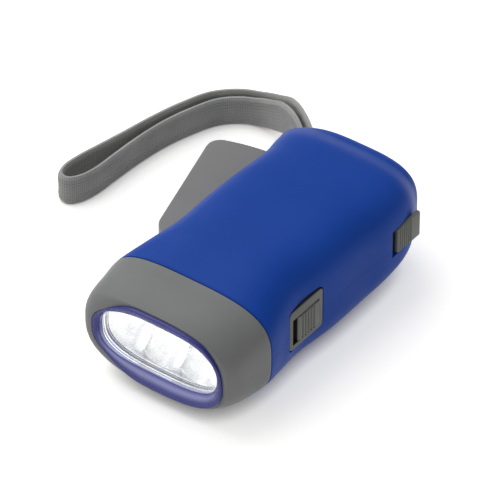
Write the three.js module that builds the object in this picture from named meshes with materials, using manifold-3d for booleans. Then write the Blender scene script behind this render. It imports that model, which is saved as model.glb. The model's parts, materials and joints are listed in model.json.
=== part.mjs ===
// Squeeze-lever dynamo flashlight, in millimetres, +Z up.
// The lens faces -Y, the two thumb sliders are on +X and the hand lever swings out on -X.
// The origin is the middle of the flat patch under the body that the flashlight rests on.

import * as THREE from 'three';
import { mergeVertices } from 'three/addons/utils/BufferGeometryUtils.js';
import Module from 'manifold-3d';

const wasm = await Module();
wasm.setup();

// Driving dimensions of the body
const bodyLength = 104;
const bodyHalfWidth = 28.5;
const bodyHalfHeight = 18.5;
const footDepth = 0.3;
const shellWall = 2;
const headLength = 18;
const bodyStationShares = [
  { along: 0, right: 0.856, left: 0.9, tall: 0.768, square: 2.7 },
  { along: 0.048, right: 0.94, left: 0.957, tall: 0.859, square: 2.8 },
  { along: 0.106, right: 0.972, left: 0.978, tall: 0.908, square: 3.0 },
  { along: 0.173, right: 0.993, left: 1, tall: 0.925, square: 3.2 },
  { along: 0.26, right: 0.937, left: 0.888, tall: 0.984, square: 3.5 },
  { along: 0.365, right: 0.891, left: 0.79, tall: 1, square: 3.8 },
  { along: 0.5, right: 0.93, left: 0.786, tall: 0.995, square: 4 },
  { along: 0.635, right: 0.94, left: 0.779, tall: 0.97, square: 4 },
  { along: 0.77, right: 0.958, left: 0.779, tall: 0.925, square: 3.7 },
  { along: 0.865, right: 0.912, left: 0.846, tall: 0.87, square: 3.5 },
  { along: 0.933, right: 0.782, left: 0.884, tall: 0.72, square: 3.3 },
  { along: 0.976, right: 0.68, left: 0.684, tall: 0.63, square: 3.2 },
  { along: 1, right: 0.46, left: 0.456, tall: 0.39, square: 3 },
];
const bodyRingShares = [
  0.215, 0.26, 0.31, 0.36, 0.42, 0.5, 0.58, 0.66, 0.74, 0.81, 0.865, 0.9, 0.933, 0.958, 0.978, 0.992, 1,
];
const headRingShares = [0.048, 0.077, 0.106];
const bodySides = 32;

// Gaps between pieces
const fitGap = 0.3;
const seamGap = 0.12;
const slideGap = 0.4;
const moveGap = 0.5;
const cutOverrun = 1;

// Head: bezel, ring, window, reflector, lamps
const bezelWall = 2;
const bezelLip = 1.5;
const neckLength = 4;
const neckWall = 1.4;
const ringRecess = 3;
const ringEdgeDepth = 0.9;
const ringLipWidth = 0.9;
const ringBandWidth = 2;
const ringBandHeight = 3.7;
const windowSquare = 2.9;
const lensThickness = 1.4;
const lensSeatWidth = 0.8;
const reflectorDepth = 9;
const reflectorSkin = 1;
const cupMargin = 0.4;
const lampCount = 3;
const lampRadius = 2.5;
const lampLength = 7;
const lampFlange = 0.5;
const lampLegRadius = 0.35;
const lampLegSpacing = 2.54;
const boardThickness = 1.5;
const drawnLedBoardHeight = 17;

// Hand lever and its pivot
const drawnPivotX = -16;
const pivotBehind = 5.86;
const drawnLeverBottomZ = 10.4;
const drawnLeverHeight = 15.6;
const leverWall = 1.6;
const drawnLeverReach = 60.4;
const drawnCornerAside = 13.3;
const drawnCornerBehind = 14.2;
const leverSlope = 15.5;
const leverFrontSlope = 50;
const leverCornerRound = 3.2;
const leverFrontRound = 2;
const leverSqueeze = 16;
const drawnKnuckleRadius = 4;
const pinRadius = 1.5;
const pinBossRadius = 3.4;
const drawnStopRibLength = 14;
const stopRibHeight = 1.4;
const stopRibWidth = 1.2;
const catchTurn = 3;
const drawnCatchDepth = 4;
const catchHeight = 2.2;
const catchInset = 1.2;
const wallEndTurn = 4;
const stopRibPlaceShare = 0.43;
const springWireRadius = 0.4;
const springSlack = 0.5;
const springTurns = 6;
const drawnSpringLegLength = 6;

// Gear train
const drawnRackModule = 0.8;
const rackTeeth = 110;
const pinionTeeth = 10;
const rackTurn = 22;
const drawnRackThickness = 3;
const drawnRackBottomZ = 16.7;
const drawnRackBand = 5;
const drawnWheelModule = 0.6;
const wheelTeeth = 40;
const rotorTeeth = 12;
const drawnWheelThickness = 2.2;
const wheelTurn = 62;
const toothSlackShare = 0.2;
const pressureTurn = 20;
const addendumShare = 0.8;
const dedendumShare = 1.12;
const drawnShaftRadius = 1;
const shaftBossRadius = 2.2;
const drawnHubRadius = 2.6;

// Generator
const drawnMagnetRadius = 6.9;
const drawnMagnetHeight = 6;
const drawnMagnetBottomZ = 5.7;
const drawnFlywheelRadius = 10.2;
const drawnFlywheelHeight = 5.8;
const drawnFlywheelBottomZ = 12.9;
const drawnFlywheelRimWidth = 3;
const flywheelWeb = 2;
const drawnCoreBottomZ = 6.2;
const drawnCoreHeight = 2.4;
const drawnCoreArm = 2.4;
const drawnShoeWidth = 1.8;
const drawnCoreLength = 17.3;
const drawnCoilHalfWidth = 4.4;
const drawnCoilHalfHeight = 2.45;
const bobbinWall = 0.6;
const shoeTurn = 52;
const legPlaceShare = 0.68;

// Gear plate and its posts
const drawnPlateThickness = 1.6;
const plateMargin = 3;
const rightPostAside = 17.02;
const rightPostAhead = 7;
const rearPostAside = 11.3;
const rearPostBehind = 11.12;
const postRadius = 2.2;

// Fasteners
const screwRadius = 1.1;
const screwHeadRadius = 2;
const screwHeadHeight = 1.3;
const caseBossRadius = 2.7;
const drawnCaseScrewLength = 17;
const drawnPlateScrewLength = 7;
const screwFaceShare = 0.7;
const crossLongShare = 0.55;
const crossThinShare = 0.14;
const crossDepthShare = 0.6;
const seatShare = 1.75;
const frontBossGap = 0.86;
const drawnFrontLeftBossX = -5.5;
const drawnFrontRightBossX = 15.5;
const rearBossBehind = 76.46;
const drawnRearLeftBossX = -10.5;
const drawnRearRightBossX = 14.6;

// Light switch on the right side
const switchPlateLength = 15.9;
const drawnSwitchPlateHeight = 13.9;
const drawnSwitchPlateFaceX = 26.1;
const switchPlateBehind = 25.46;
const drawnSwitchMiddleZ = 18.6;
const drawnKnobDrop = 0.8;
const drawnPlateRise = 0.7;
const drawnSwitchPlateThickness = 1.5;
const drawnSwitchPlateStand = 0.9;
const switchFlangeRim = 1;
const switchCornerRadius = 1.6;
const switchMargin = 1.8;
const switchTravel = 2;
const knobLength = 10;
const drawnKnobHeight = 8.5;
const knobProud = 0.8;
const knobRampLength = 1.2;
const knobRampDrop = 0.3;
const grooveCount = 5;
const groovePitch = 1.35;
const grooveWidth = 0.55;
const grooveDepth = 0.5;
const grooveFlankShare = 0.3;
const drawnSwitchBodyLength = 8.4;
const drawnSwitchBodyHeight = 6;
const actuatorWidth = 2;
const actuatorDepthShare = 0.3;
const actuatorRoomShare = 0.4;

// Lever lock on the right side
const lockLength = 9.9;
const drawnLockHeight = 8.5;
const drawnLockRise = 1.5;
const lockBehind = 71.66;
const drawnLockFaceX = 27.6;
const lockThickness = 1.3;
const lockTravel = 4;
const lockStemLength = 3.5;
const drawnLockStemHeight = 4.6;
const lockFlangeRim = 0.8;
const lockFlangeThickness = 1.3;
const drawnLockFlangeX = 22;
const lockFrontGap = 2;
const lockArmWidth = 2.5;
const lockArmHeight = 2;
const drawnLockRiserX = 18.5;
const drawnLockWebZ = 20;
const lockHookWidth = 2.9;

// Battery and circuit board
const drawnCellRadius = 7.7;
const drawnCellThickness = 5.4;
const cellCount = 3;
const drawnCellX = -5;
const cellFrontGap = 2.6;
const boardFrontGap = 1.1;
const drawnCellZ = 10.9;
const cellGap = 0.3;
const cellCapShare = 0.2;
const cellCapWidthShare = 0.8;
const drawnCradleWall = 1;
const drawnContactThickness = 0.4;
const contactHalfShare = 0.6;
const drawnCircuitBoardLength = 21;
const drawnCircuitBoardHeight = 22;
const drawnCircuitBoardZ = 4.2;
const boardRibWidth = 2;
const capacitorRadius = 2.5;
const capacitorRiseShare = 1.6;
const capacitorHeight = 6;
const chipLength = 4.6;
const chipFrontGap = 0.8;
const chipDepth = 1.6;

// Wrist strap; the route's points are x, y, z along the middle of the webbing
const strapRoute = [
  [-18.2, 47.0, 17.2], [-20.8, 49.3, 17.2], [-25.0, 52.9, 17.0], [-30.6, 57.5, 16.2], [-37.5, 62.3, 13.4],
  [-44.6, 66.5, 8.8], [-51.8, 68.2, 5.7], [-57.4, 66.4, 5.1], [-62.6, 61.4, 5.1], [-66.4, 52.7, 5.1],
  [-69.1, 43.0, 5.1], [-70.6, 32.4, 5.1], [-71.3, 21.4, 5.1], [-71.7, 13.4, 5.1], [-73.1, 7.6, 5.1],
  [-75.7, 4.4, 5.1], [-78.5, 4.8, 5.1], [-79.9, 8.4, 5.1], [-79.4, 14.4, 5.1], [-77.7, 22.3, 5.1],
  [-75.5, 32.3, 5.1], [-73.3, 42.9, 5.1], [-70.4, 53.4, 5.1], [-66.1, 63.3, 5.1], [-59.4, 69.6, 5.1],
  [-52.0, 71.8, 5.7], [-43.7, 70.1, 8.8], [-36.2, 65.6, 13.4], [-28.8, 59.8, 16.2], [-23.1, 55.0, 17.0],
  [-18.2, 51.5, 17.2], [-15.6, 49.6, 17.2],
];
const strapExitAside = 10.3;
const strapExitAhead = 5;
const strapWidth = 10;
const strapThickness = 2;
const strapFlatShare = 1.2;
const strapPinRadius = 1;
const strapSlotWidth = 7.6;
const strapSlotLength = 14;
const strapPinGap = 0.5;
const strapSteps = 60;

// The room that the works were drawn for
const worksLength = 83.86;
const worksHalfWidth = 28.5;
const worksHalfHeight = 18.5;

// Places along the length, from the lens to the lamp board
const frontY = -bodyLength / 2;
const rearY = bodyLength / 2;
const headSeamY = frontY + headLength;
const middleZ = bodyHalfHeight - footDepth;
const ringFrontY = frontY + fitGap;
const windowY = frontY + ringRecess;
const lensFrontY = windowY + lensSeatWidth + fitGap;
const lensBackY = lensFrontY + lensThickness;
const reflectorFrontY = lensBackY + fitGap;
const reflectorBackY = reflectorFrontY + reflectorDepth;
const ledBoardFrontY = reflectorBackY + fitGap + lampFlange * 2 + lampLegSpacing;
const ledBoardBackY = ledBoardFrontY + boardThickness;

// How the works follow the room that the body gives them
const roomFit = (rearY - ledBoardBackY) / worksLength;
const widthFit = bodyHalfWidth / worksHalfWidth;
const heightFit = bodyHalfHeight / worksHalfHeight;
const planFit = Math.min(roomFit, widthFit);

const leverReach = drawnLeverReach * planFit;
const knuckleRadius = drawnKnuckleRadius * planFit;
const stopRibLength = drawnStopRibLength * planFit;
const catchDepth = drawnCatchDepth * planFit;
const springLegLength = drawnSpringLegLength * planFit;
const rackModule = drawnRackModule * planFit;
const rackBand = drawnRackBand * planFit;
const wheelModule = drawnWheelModule * planFit;
const shaftRadius = drawnShaftRadius * planFit;
const hubRadius = drawnHubRadius * planFit;
const magnetRadius = drawnMagnetRadius * planFit;
const flywheelRadius = drawnFlywheelRadius * planFit;
const flywheelRimWidth = drawnFlywheelRimWidth * planFit;
const coreLength = drawnCoreLength * planFit;
const coreArm = drawnCoreArm * planFit;
const shoeWidth = drawnShoeWidth * planFit;
const switchPlateThickness = drawnSwitchPlateThickness * planFit;
const switchPlateStand = drawnSwitchPlateStand * planFit;
const circuitBoardLength = drawnCircuitBoardLength * roomFit;
const switchBodyLength = drawnSwitchBodyLength * roomFit;
const leverBottomZ = drawnLeverBottomZ * heightFit;
const leverHeight = drawnLeverHeight * heightFit;
const rackBottomZ = drawnRackBottomZ * heightFit;
const rackThickness = drawnRackThickness * heightFit;
const wheelThickness = drawnWheelThickness * heightFit;
const magnetBottomZ = drawnMagnetBottomZ * heightFit;
const magnetHeight = drawnMagnetHeight * heightFit;
const flywheelBottomZ = drawnFlywheelBottomZ * heightFit;
const flywheelHeight = drawnFlywheelHeight * heightFit;
const coreBottomZ = drawnCoreBottomZ * heightFit;
const coreHeight = drawnCoreHeight * heightFit;
const coilHalfHeight = drawnCoilHalfHeight * heightFit;
const plateThickness = drawnPlateThickness * heightFit;
const plateScrewLength = drawnPlateScrewLength * heightFit;
const caseScrewLength = drawnCaseScrewLength * heightFit;
const switchPlateHeight = drawnSwitchPlateHeight * heightFit;
const knobHeight = drawnKnobHeight * heightFit;
const lockHeight = drawnLockHeight * heightFit;
const lockRise = drawnLockRise * heightFit;
const lockStemHeight = drawnLockStemHeight * heightFit;
const lockWebZ = drawnLockWebZ * heightFit;
const circuitBoardZ = drawnCircuitBoardZ * heightFit;
const circuitBoardHeight = drawnCircuitBoardHeight * heightFit;
const cellZ = drawnCellZ * heightFit;
const ledBoardHeight = drawnLedBoardHeight * heightFit;
const switchMiddleZ = drawnSwitchMiddleZ * heightFit;
const knobMiddleZ = switchMiddleZ - drawnKnobDrop * heightFit;
const plateRise = drawnPlateRise * heightFit;
const switchBodyHeight = drawnSwitchBodyHeight * heightFit;
const coilHalfWidth = drawnCoilHalfWidth * widthFit;
const cellThickness = drawnCellThickness * widthFit;
const cradleWall = drawnCradleWall * widthFit;
const contactThickness = drawnContactThickness * widthFit;
const pivotX = drawnPivotX * widthFit;
const frontLeftBossX = drawnFrontLeftBossX * widthFit;
const frontRightBossX = drawnFrontRightBossX * widthFit;
const rearLeftBossX = drawnRearLeftBossX * widthFit;
const rearRightBossX = drawnRearRightBossX * widthFit;
const cellX = drawnCellX * widthFit;
const switchPlateFaceX = drawnSwitchPlateFaceX * widthFit;
const lockFaceX = drawnLockFaceX * widthFit;
const lockFlangeX = drawnLockFlangeX * widthFit;
const lockRiserX = drawnLockRiserX * widthFit;
const cellRadius = drawnCellRadius * Math.min(roomFit, heightFit);

// Places of the works behind the lamp board
const pivotY = ledBoardBackY + knuckleRadius + (pivotBehind - drawnKnuckleRadius) * roomFit;
const leverCornerX = pivotX - drawnCornerAside * planFit;
const leverCornerY = pivotY + drawnCornerBehind * planFit;
const frontBossY = ledBoardBackY + frontBossGap + caseBossRadius;
const rearBossY = ledBoardBackY + rearBossBehind * roomFit;
const switchPlateRearY = ledBoardBackY + switchPlateBehind * roomFit;
const lockRearY = ledBoardBackY + lockBehind * roomFit;
const cellY = frontBossY + caseBossRadius + cellFrontGap + cellRadius + fitGap + cradleWall;

// Places that follow from the sizes above
const leverTopZ = leverBottomZ + leverHeight;
const rackRadius = rackModule * rackTeeth / 2;
const pinionRadius = rackModule * pinionTeeth / 2;
const wheelRadius = wheelModule * wheelTeeth / 2;
const rotorPinionRadius = wheelModule * rotorTeeth / 2;
const gearX = pivotX + (rackRadius + pinionRadius) * Math.sin(radians(rackTurn));
const gearY = pivotY + (rackRadius + pinionRadius) * Math.cos(radians(rackTurn));
const rotorX = gearX + (wheelRadius + rotorPinionRadius) * Math.cos(radians(wheelTurn));
const rotorY = gearY + (wheelRadius + rotorPinionRadius) * Math.sin(radians(wheelTurn));
const rackTopZ = rackBottomZ + rackThickness;
const wheelBottomZ = rackTopZ + fitGap * 2;
const wheelTopZ = wheelBottomZ + wheelThickness;
const plateBottomZ = wheelTopZ + fitGap * 2;
const plateTopZ = plateBottomZ + plateThickness;
const rightPostX = gearX + rightPostAside * planFit;
const rightPostY = gearY - rightPostAhead * planFit;
const rearPostX = rotorX - rearPostAside * planFit;
const rearPostY = rotorY + rearPostBehind * planFit;

// Helpers
function radians(degrees) {
  return degrees * Math.PI / 180;
}

function solid(geometry) {
  const bare = geometry.clone();
  bare.deleteAttribute('normal');
  bare.deleteAttribute('uv');
  const welded = mergeVertices(bare, bodyLength * 1e-6);
  const mesh = new wasm.Mesh({
    numProp: 3,
    vertProperties: new Float32Array(welded.attributes.position.array),
    triVerts: new Uint32Array(welded.index.array),
  });
  return new wasm.Manifold(mesh);
}

function join(...solids) {
  return solids.reduce((sum, piece) => sum.add(piece));
}

function without(base, ...cutters) {
  return cutters.reduce((rest, cutter) => rest.subtract(cutter), base);
}

function block(x0, x1, y0, y1, z0, z1) {
  const geometry = new THREE.BoxGeometry(x1 - x0, y1 - y0, z1 - z0);
  geometry.translate((x0 + x1) / 2, (y0 + y1) / 2, (z0 + z1) / 2);
  return solid(geometry);
}

function post(x, y, radius, z0, z1, sides = 14) {
  const geometry = new THREE.CylinderGeometry(radius, radius, z1 - z0, sides);
  geometry.rotateX(Math.PI / 2);
  geometry.translate(x, y, (z0 + z1) / 2);
  return solid(geometry);
}

// The shape's outline as straight steps, without repeated points
function stepped(shape, curveSegments) {
  const points = shape.getPoints(curveSegments);
  const apart = bodyLength * 1e-5;
  const kept = points.filter((point, i) => point.distanceTo(points[(i + 1) % points.length]) > apart);
  return new THREE.Shape(kept);
}

// A prism whose outline lies in the XY plane
function slab(shape, z0, z1, curveSegments = 8) {
  const flat = stepped(shape, curveSegments);
  const geometry = new THREE.ExtrudeGeometry(flat, { depth: z1 - z0, bevelEnabled: false });
  geometry.translate(0, 0, z0);
  return solid(geometry);
}

// A prism whose outline is given as (y, z) and runs along X
function crossPlate(shape, x0, x1, curveSegments = 4) {
  const flat = stepped(shape, curveSegments);
  const geometry = new THREE.ExtrudeGeometry(flat, { depth: x1 - x0, bevelEnabled: false });
  geometry.applyMatrix4(new THREE.Matrix4().set(0, 0, 1, x0, 1, 0, 0, 0, 0, 1, 0, 0, 0, 0, 0, 1));
  return solid(geometry);
}

function outline(points) {
  return new THREE.Shape(points.map(([x, y]) => new THREE.Vector2(x, y)));
}

function roundedRectangle(x0, x1, y0, y1, radius) {
  const shape = new THREE.Shape();
  shape.absarc(x1 - radius, y1 - radius, radius, 0, Math.PI / 2);
  shape.absarc(x0 + radius, y1 - radius, radius, Math.PI / 2, Math.PI);
  shape.absarc(x0 + radius, y0 + radius, radius, Math.PI, Math.PI * 1.5);
  shape.absarc(x1 - radius, y0 + radius, radius, Math.PI * 1.5, Math.PI * 2);
  return shape;
}

// Turned shapes: the profile is a list of [radius, height] that starts and ends on the axis
function turned(profile, sides) {
  const geometry = new THREE.LatheGeometry(profile.map(([r, h]) => new THREE.Vector2(r, h)), sides);
  geometry.rotateX(Math.PI / 2);
  return geometry;
}

function roundWire(points, radius, steps, sides = 6) {
  const path = new THREE.CatmullRomCurve3(points, false, 'centripetal');
  const section = new THREE.Shape();
  section.absarc(0, 0, radius, 0, Math.PI * 2);
  return solid(new THREE.ExtrudeGeometry(section, {
    steps, extrudePath: path, bevelEnabled: false, curveSegments: sides,
  }));
}

// Smooth values between the body's stations
function stationAt(y) {
  const share = THREE.MathUtils.clamp((y + bodyLength / 2) / bodyLength, 0, 1);
  const last = bodyStationShares.length - 1;
  let index = bodyStationShares.findIndex((station, i) => i > 0 && station.along >= share) - 1;
  if (index < 0) {
    index = last - 1;
  }
  const slope = (key, i) => {
    const before = bodyStationShares[Math.max(i - 1, 0)];
    const after = bodyStationShares[Math.min(i + 1, last)];
    return (after[key] - before[key]) / (after.along - before.along);
  };
  const start = bodyStationShares[index];
  const end = bodyStationShares[index + 1];
  const span = end.along - start.along;
  const t = (share - start.along) / span;
  const blend = (key) => {
    const startSlope = slope(key, index) * span;
    const endSlope = slope(key, index + 1) * span;
    return start[key] * (2 * t ** 3 - 3 * t ** 2 + 1) + startSlope * (t ** 3 - 2 * t ** 2 + t)
      + end[key] * (3 * t ** 2 - 2 * t ** 3) + endSlope * (t ** 3 - t ** 2);
  };
  return { right: blend('right'), left: blend('left'), tall: blend('tall'), square: blend('square') };
}

// One ring of the body's skin, moved inwards by inset
function skinRing(y, inset) {
  const station = stationAt(y);
  return {
    y,
    right: station.right * bodyHalfWidth - inset,
    left: station.left * bodyHalfWidth - inset,
    tall: station.tall * bodyHalfHeight - inset,
    square: station.square,
  };
}

function ovalRing(y, right, left, tall, square) {
  return { y, right, left, tall, square };
}

// A closed solid whose skin passes through the rings: a unit cylinder with its vertices moved
function loft(rings, sides = bodySides) {
  const geometry = new THREE.CylinderGeometry(1, 1, 1, sides, rings.length - 1);
  const position = geometry.attributes.position;
  for (let i = 0; i < position.count; i += 1) {
    const share = position.getY(i) + 0.5;
    const ring = rings[Math.round(share * (rings.length - 1))];
    const reach = Math.hypot(position.getX(i), position.getZ(i)) > 0.5 ? 1 : 0;
    const turn = Math.atan2(position.getZ(i), position.getX(i));
    const power = 2 / ring.square;
    const across = Math.abs(Math.cos(turn)) < 1e-6 ? 0 : Math.abs(Math.cos(turn)) ** power;
    const upward = Math.abs(Math.sin(turn)) < 1e-6 ? 0 : Math.abs(Math.sin(turn)) ** power;
    const side = Math.cos(turn) > 0 ? ring.right : -ring.left;
    const centreX = (ring.right - ring.left) / 2;
    position.setXYZ(
      i,
      reach ? across * side : centreX,
      ring.y,
      middleZ + reach * Math.sign(Math.sin(turn)) * upward * ring.tall,
    );
  }
  return solid(geometry);
}

function skinLoft(ys, inset, sides = bodySides) {
  return loft(ys.map((y) => skinRing(y, inset)), sides);
}

// Height of the skin above or below a point of the plan; sign is 1 for the roof and -1 for the floor
function skinZ(x, y, inset, sign) {
  const ring = skinRing(y, inset);
  const half = x > 0 ? ring.right : ring.left;
  const rest = Math.max(1 - Math.abs(x / half) ** ring.square, 0);
  return middleZ + sign * ring.tall * rest ** (1 / ring.square);
}

// How far the skin reaches towards -X at a height
function skinLeftX(y, z, inset) {
  const ring = skinRing(y, inset);
  const rest = Math.max(1 - Math.abs((z - middleZ) / ring.tall) ** ring.square, 0);
  return -ring.left * rest ** (1 / ring.square);
}

const model = new THREE.Group();

function addPiece(name, body, finish) {
  const { vertProperties, triVerts } = body.getMesh();
  const geometry = new THREE.BufferGeometry();
  geometry.setAttribute('position', new THREE.BufferAttribute(vertProperties, 3));
  geometry.setIndex(new THREE.BufferAttribute(triVerts, 1));
  geometry.computeVertexNormals();
  const mesh = new THREE.Mesh(geometry, finish);
  mesh.name = name;
  model.add(mesh);
}

function finish(color, roughness, metalness = 0) {
  return new THREE.MeshStandardMaterial({ color, roughness, metalness });
}

const bluePlastic = finish(0x2a469f, 0.42);
const greyPlastic = finish(0x828282, 0.6);
const darkPlastic = finish(0x6e6f6a, 0.55);
const violetPlastic = finish(0x5a5fa5, 0.2);
const clearPlastic = finish(0xf4f7fb, 0.05);
const whitePlastic = finish(0xe9e6dc, 0.5);
const blackPlastic = finish(0x222222, 0.5);
const mirrorPlastic = finish(0xe6e8ea, 0.12, 0.9);
const steel = finish(0xb9bcc0, 0.3, 1);
const magnetIron = finish(0x3c3e42, 0.45, 0.6);
const copper = finish(0xb4632c, 0.35, 0.9);
const greenBoard = finish(0x2f6b3a, 0.5);
const webbing = finish(0x767676, 0.95);

const bodyYs = [headSeamY + seamGap, ...bodyRingShares.map((share) => frontY + share * bodyLength)];

// Outline of the hand lever in plan, moved inwards by inset
function leverOutline(inset) {
  const outward = { x: Math.cos(radians(leverSlope)), y: Math.sin(radians(leverSlope)) };
  const forward = { x: Math.cos(radians(leverFrontSlope)), y: Math.sin(radians(leverFrontSlope)) };
  const cross = outward.x * forward.y - outward.y * forward.x;
  const corner = new THREE.Vector2(
    leverCornerX + inset * (forward.y - outward.y) / cross,
    leverCornerY + inset * (outward.x - forward.x) / cross,
  );
  const edge = new THREE.Vector2(-outward.y, outward.x);
  const front = new THREE.Vector2(forward.y, -forward.x);
  const reach = leverReach - inset;
  const toPivot = corner.clone().sub(new THREE.Vector2(pivotX, pivotY));
  const along = toPivot.dot(edge);
  const edgeLength = -along + Math.sqrt(along ** 2 - toPivot.lengthSq() + reach ** 2);
  const rear = corner.clone().addScaledVector(edge, edgeLength);
  const cornerTurn = Math.atan2(rear.y - pivotY, rear.x - pivotX);
  const rearRound = Math.max(leverCornerRound - inset, leverCornerRound / 4);
  const frontRound = Math.max(leverFrontRound - inset, leverFrontRound / 4);
  const foot = corner.clone().addScaledVector(front, -toPivot.dot(front));
  const shape = new THREE.Shape();
  shape.moveTo(foot.x, foot.y);
  shape.lineTo(pivotX, pivotY + reach);
  shape.absarc(pivotX, pivotY, reach, Math.PI / 2, cornerTurn - rearRound / reach, false);
  const afterRear = rear.clone().addScaledVector(edge, -rearRound);
  shape.quadraticCurveTo(rear.x, rear.y, afterRear.x, afterRear.y);
  const beforeFront = corner.clone().addScaledVector(edge, frontRound);
  const afterFront = corner.clone().addScaledVector(front, frontRound);
  shape.lineTo(beforeFront.x, beforeFront.y);
  shape.quadraticCurveTo(corner.x, corner.y, afterFront.x, afterFront.y);
  return shape;
}

// Point at a radius and a turn from the pivot; turn 0 looks along +Y and grows towards +X
function fromPivot(radius, turn) {
  return [pivotX + radius * Math.sin(radians(turn)), pivotY + radius * Math.cos(radians(turn))];
}

// Gear teeth
const pressureAngle = radians(pressureTurn);

function toothHalfTurn(teeth, radiusShare) {
  const rolled = Math.cos(pressureAngle) / radiusShare;
  const angle = rolled < 1 ? Math.acos(rolled) : 0;
  const involute = (value) => Math.tan(value) - value;
  return Math.PI * (1 - toothSlackShare) / (2 * teeth) + involute(pressureAngle) - involute(angle);
}

function toothPoints(teeth, module, centreTurn) {
  const radius = module * teeth / 2;
  const levels = [radius - dedendumShare * module, radius + addendumShare * module];
  const flank = levels.map((level) => ({ level, half: toothHalfTurn(teeth, level / radius) }));
  const rising = flank.map(({ level, half }) => [level, centreTurn - half]);
  const falling = flank.map(({ level, half }) => [level, centreTurn + half]).reverse();
  return [...rising, ...falling].map(([level, turn]) => [level * Math.cos(turn), level * Math.sin(turn)]);
}

function gearSolid(x, y, teeth, module, firstTurn, z0, z1) {
  const points = [];
  for (let i = 0; i < teeth; i += 1) {
    points.push(...toothPoints(teeth, module, firstTurn + i * 2 * Math.PI / teeth));
  }
  return slab(outline(points.map(([px, py]) => [px + x, py + y])), z0, z1);
}

const driveLine = Math.atan2(gearY - pivotY, gearX - pivotX);
const rotorLine = Math.atan2(rotorY - gearY, rotorX - gearX);

// Hand lever: a channel with a toothed arm inside it
function makeLever() {
  const knuckle = post(pivotX, pivotY, knuckleRadius, leverBottomZ, leverTopZ, 24);
  const outer = join(slab(leverOutline(0), leverBottomZ, leverTopZ), knuckle);
  const z0 = leverBottomZ + leverWall;
  const z1 = leverTopZ - leverWall;
  const [openX] = fromPivot(leverReach, -wallEndTurn);
  const hollow = join(
    slab(leverOutline(leverWall), z0, z1),
    post(pivotX, pivotY, knuckleRadius + moveGap, z0, z1, 24),
    block(openX, pivotX + knuckleRadius, pivotY, pivotY + leverReach + cutOverrun, z0, z1),
  );
  const tooth = 2 * Math.PI / rackTeeth;
  const strokeTeeth = Math.ceil(radians(leverSqueeze) / tooth) + 1;
  const rootRadius = rackRadius - dedendumShare * rackModule;
  const armRadius = rootRadius - rackBand;
  const wallTurn = (radius) => {
    const outward = radians(leverSlope);
    const distance = (leverCornerX - pivotX) * Math.cos(outward) + (leverCornerY - pivotY) * Math.sin(outward);
    return outward + Math.PI - Math.acos(-(distance + leverWall / 2) / radius);
  };
  const armPoints = [];
  const arcSteps = 10;
  const leading = driveLine - tooth * 1.5;
  for (let i = 0; i <= arcSteps; i += 1) {
    const turn = wallTurn(armRadius) + (leading - wallTurn(armRadius)) * i / arcSteps;
    armPoints.push([armRadius * Math.cos(turn), armRadius * Math.sin(turn)]);
  }
  armPoints.push([rootRadius * Math.cos(leading), rootRadius * Math.sin(leading)]);
  for (let i = -1; i <= strokeTeeth; i += 1) {
    armPoints.push(...toothPoints(rackTeeth, rackModule, driveLine + i * tooth));
  }
  const trailing = driveLine + (strokeTeeth + 0.5) * tooth;
  for (let i = 0; i <= arcSteps; i += 1) {
    const turn = trailing + (wallTurn(rootRadius) - trailing) * i / arcSteps;
    armPoints.push([rootRadius * Math.cos(turn), rootRadius * Math.sin(turn)]);
  }
  const arm = slab(outline(armPoints.map(([x, y]) => [x + pivotX, y + pivotY])), rackBottomZ, rackTopZ);
  const ribY = pivotY + leverReach * stopRibPlaceShare;
  const ribX = Math.max(...[-1, 1].map((end) => skinLeftX(ribY + end * stopRibLength / 2,
    leverTopZ + stopRibHeight, shellWall + fitGap)));
  const stopRib = block(
    ribX, ribX + stopRibWidth, ribY - stopRibLength / 2, ribY + stopRibLength / 2,
    z1, leverTopZ + stopRibHeight,
  );
  const catchOuter = leverReach - catchInset;
  const catchTab = slab(outline([
    fromPivot(catchOuter - catchDepth, -catchTurn), fromPivot(catchOuter - catchDepth, 0),
    fromPivot(catchOuter, 0), fromPivot(catchOuter, -catchTurn),
  ]), z1, leverTopZ + catchHeight).intersect(skinLoft(bodyYs, shellWall + moveGap));
  const bore = post(pivotX, pivotY, pinRadius + fitGap / 2, leverBottomZ - cutOverrun, leverTopZ + cutOverrun);
  return without(join(without(outer, hollow), arm, stopRib, catchTab), bore);
}

addPiece('lever', makeLever(), greyPlastic);

// Pivot pin and the torsion spring round it
const pinBottomZ = skinZ(pivotX, pivotY, shellWall, -1) + fitGap * 3;
const pinTopZ = skinZ(pivotX, pivotY, shellWall, 1) - fitGap * 3;
addPiece('lever_pin', post(pivotX, pivotY, pinRadius, pinBottomZ, pinTopZ), steel);

const springRadius = pinRadius + fitGap / 2 + springWireRadius + springSlack;
function makeSpring() {
  const z0 = leverBottomZ + leverWall + springWireRadius + fitGap;
  const z1 = rackBottomZ + rackThickness;
  const stepsPerTurn = 10;
  const points = [];
  const total = springTurns * stepsPerTurn;
  for (let i = 0; i <= total; i += 1) {
    const turn = i * 2 * Math.PI / stepsPerTurn + Math.PI / 2;
    points.push(new THREE.Vector3(
      pivotX + springRadius * Math.cos(turn),
      pivotY + springRadius * Math.sin(turn),
      z0 + (z1 - z0) * i / total,
    ));
  }
  const first = points[0];
  const last = points[total];
  points.unshift(new THREE.Vector3(first.x + springLegLength, first.y, first.z));
  points.push(new THREE.Vector3(last.x - springLegLength, last.y, last.z));
  return roundWire(points, springWireRadius, total + 6, 2);
}
addPiece('lever_spring', makeSpring(), steel);

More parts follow.
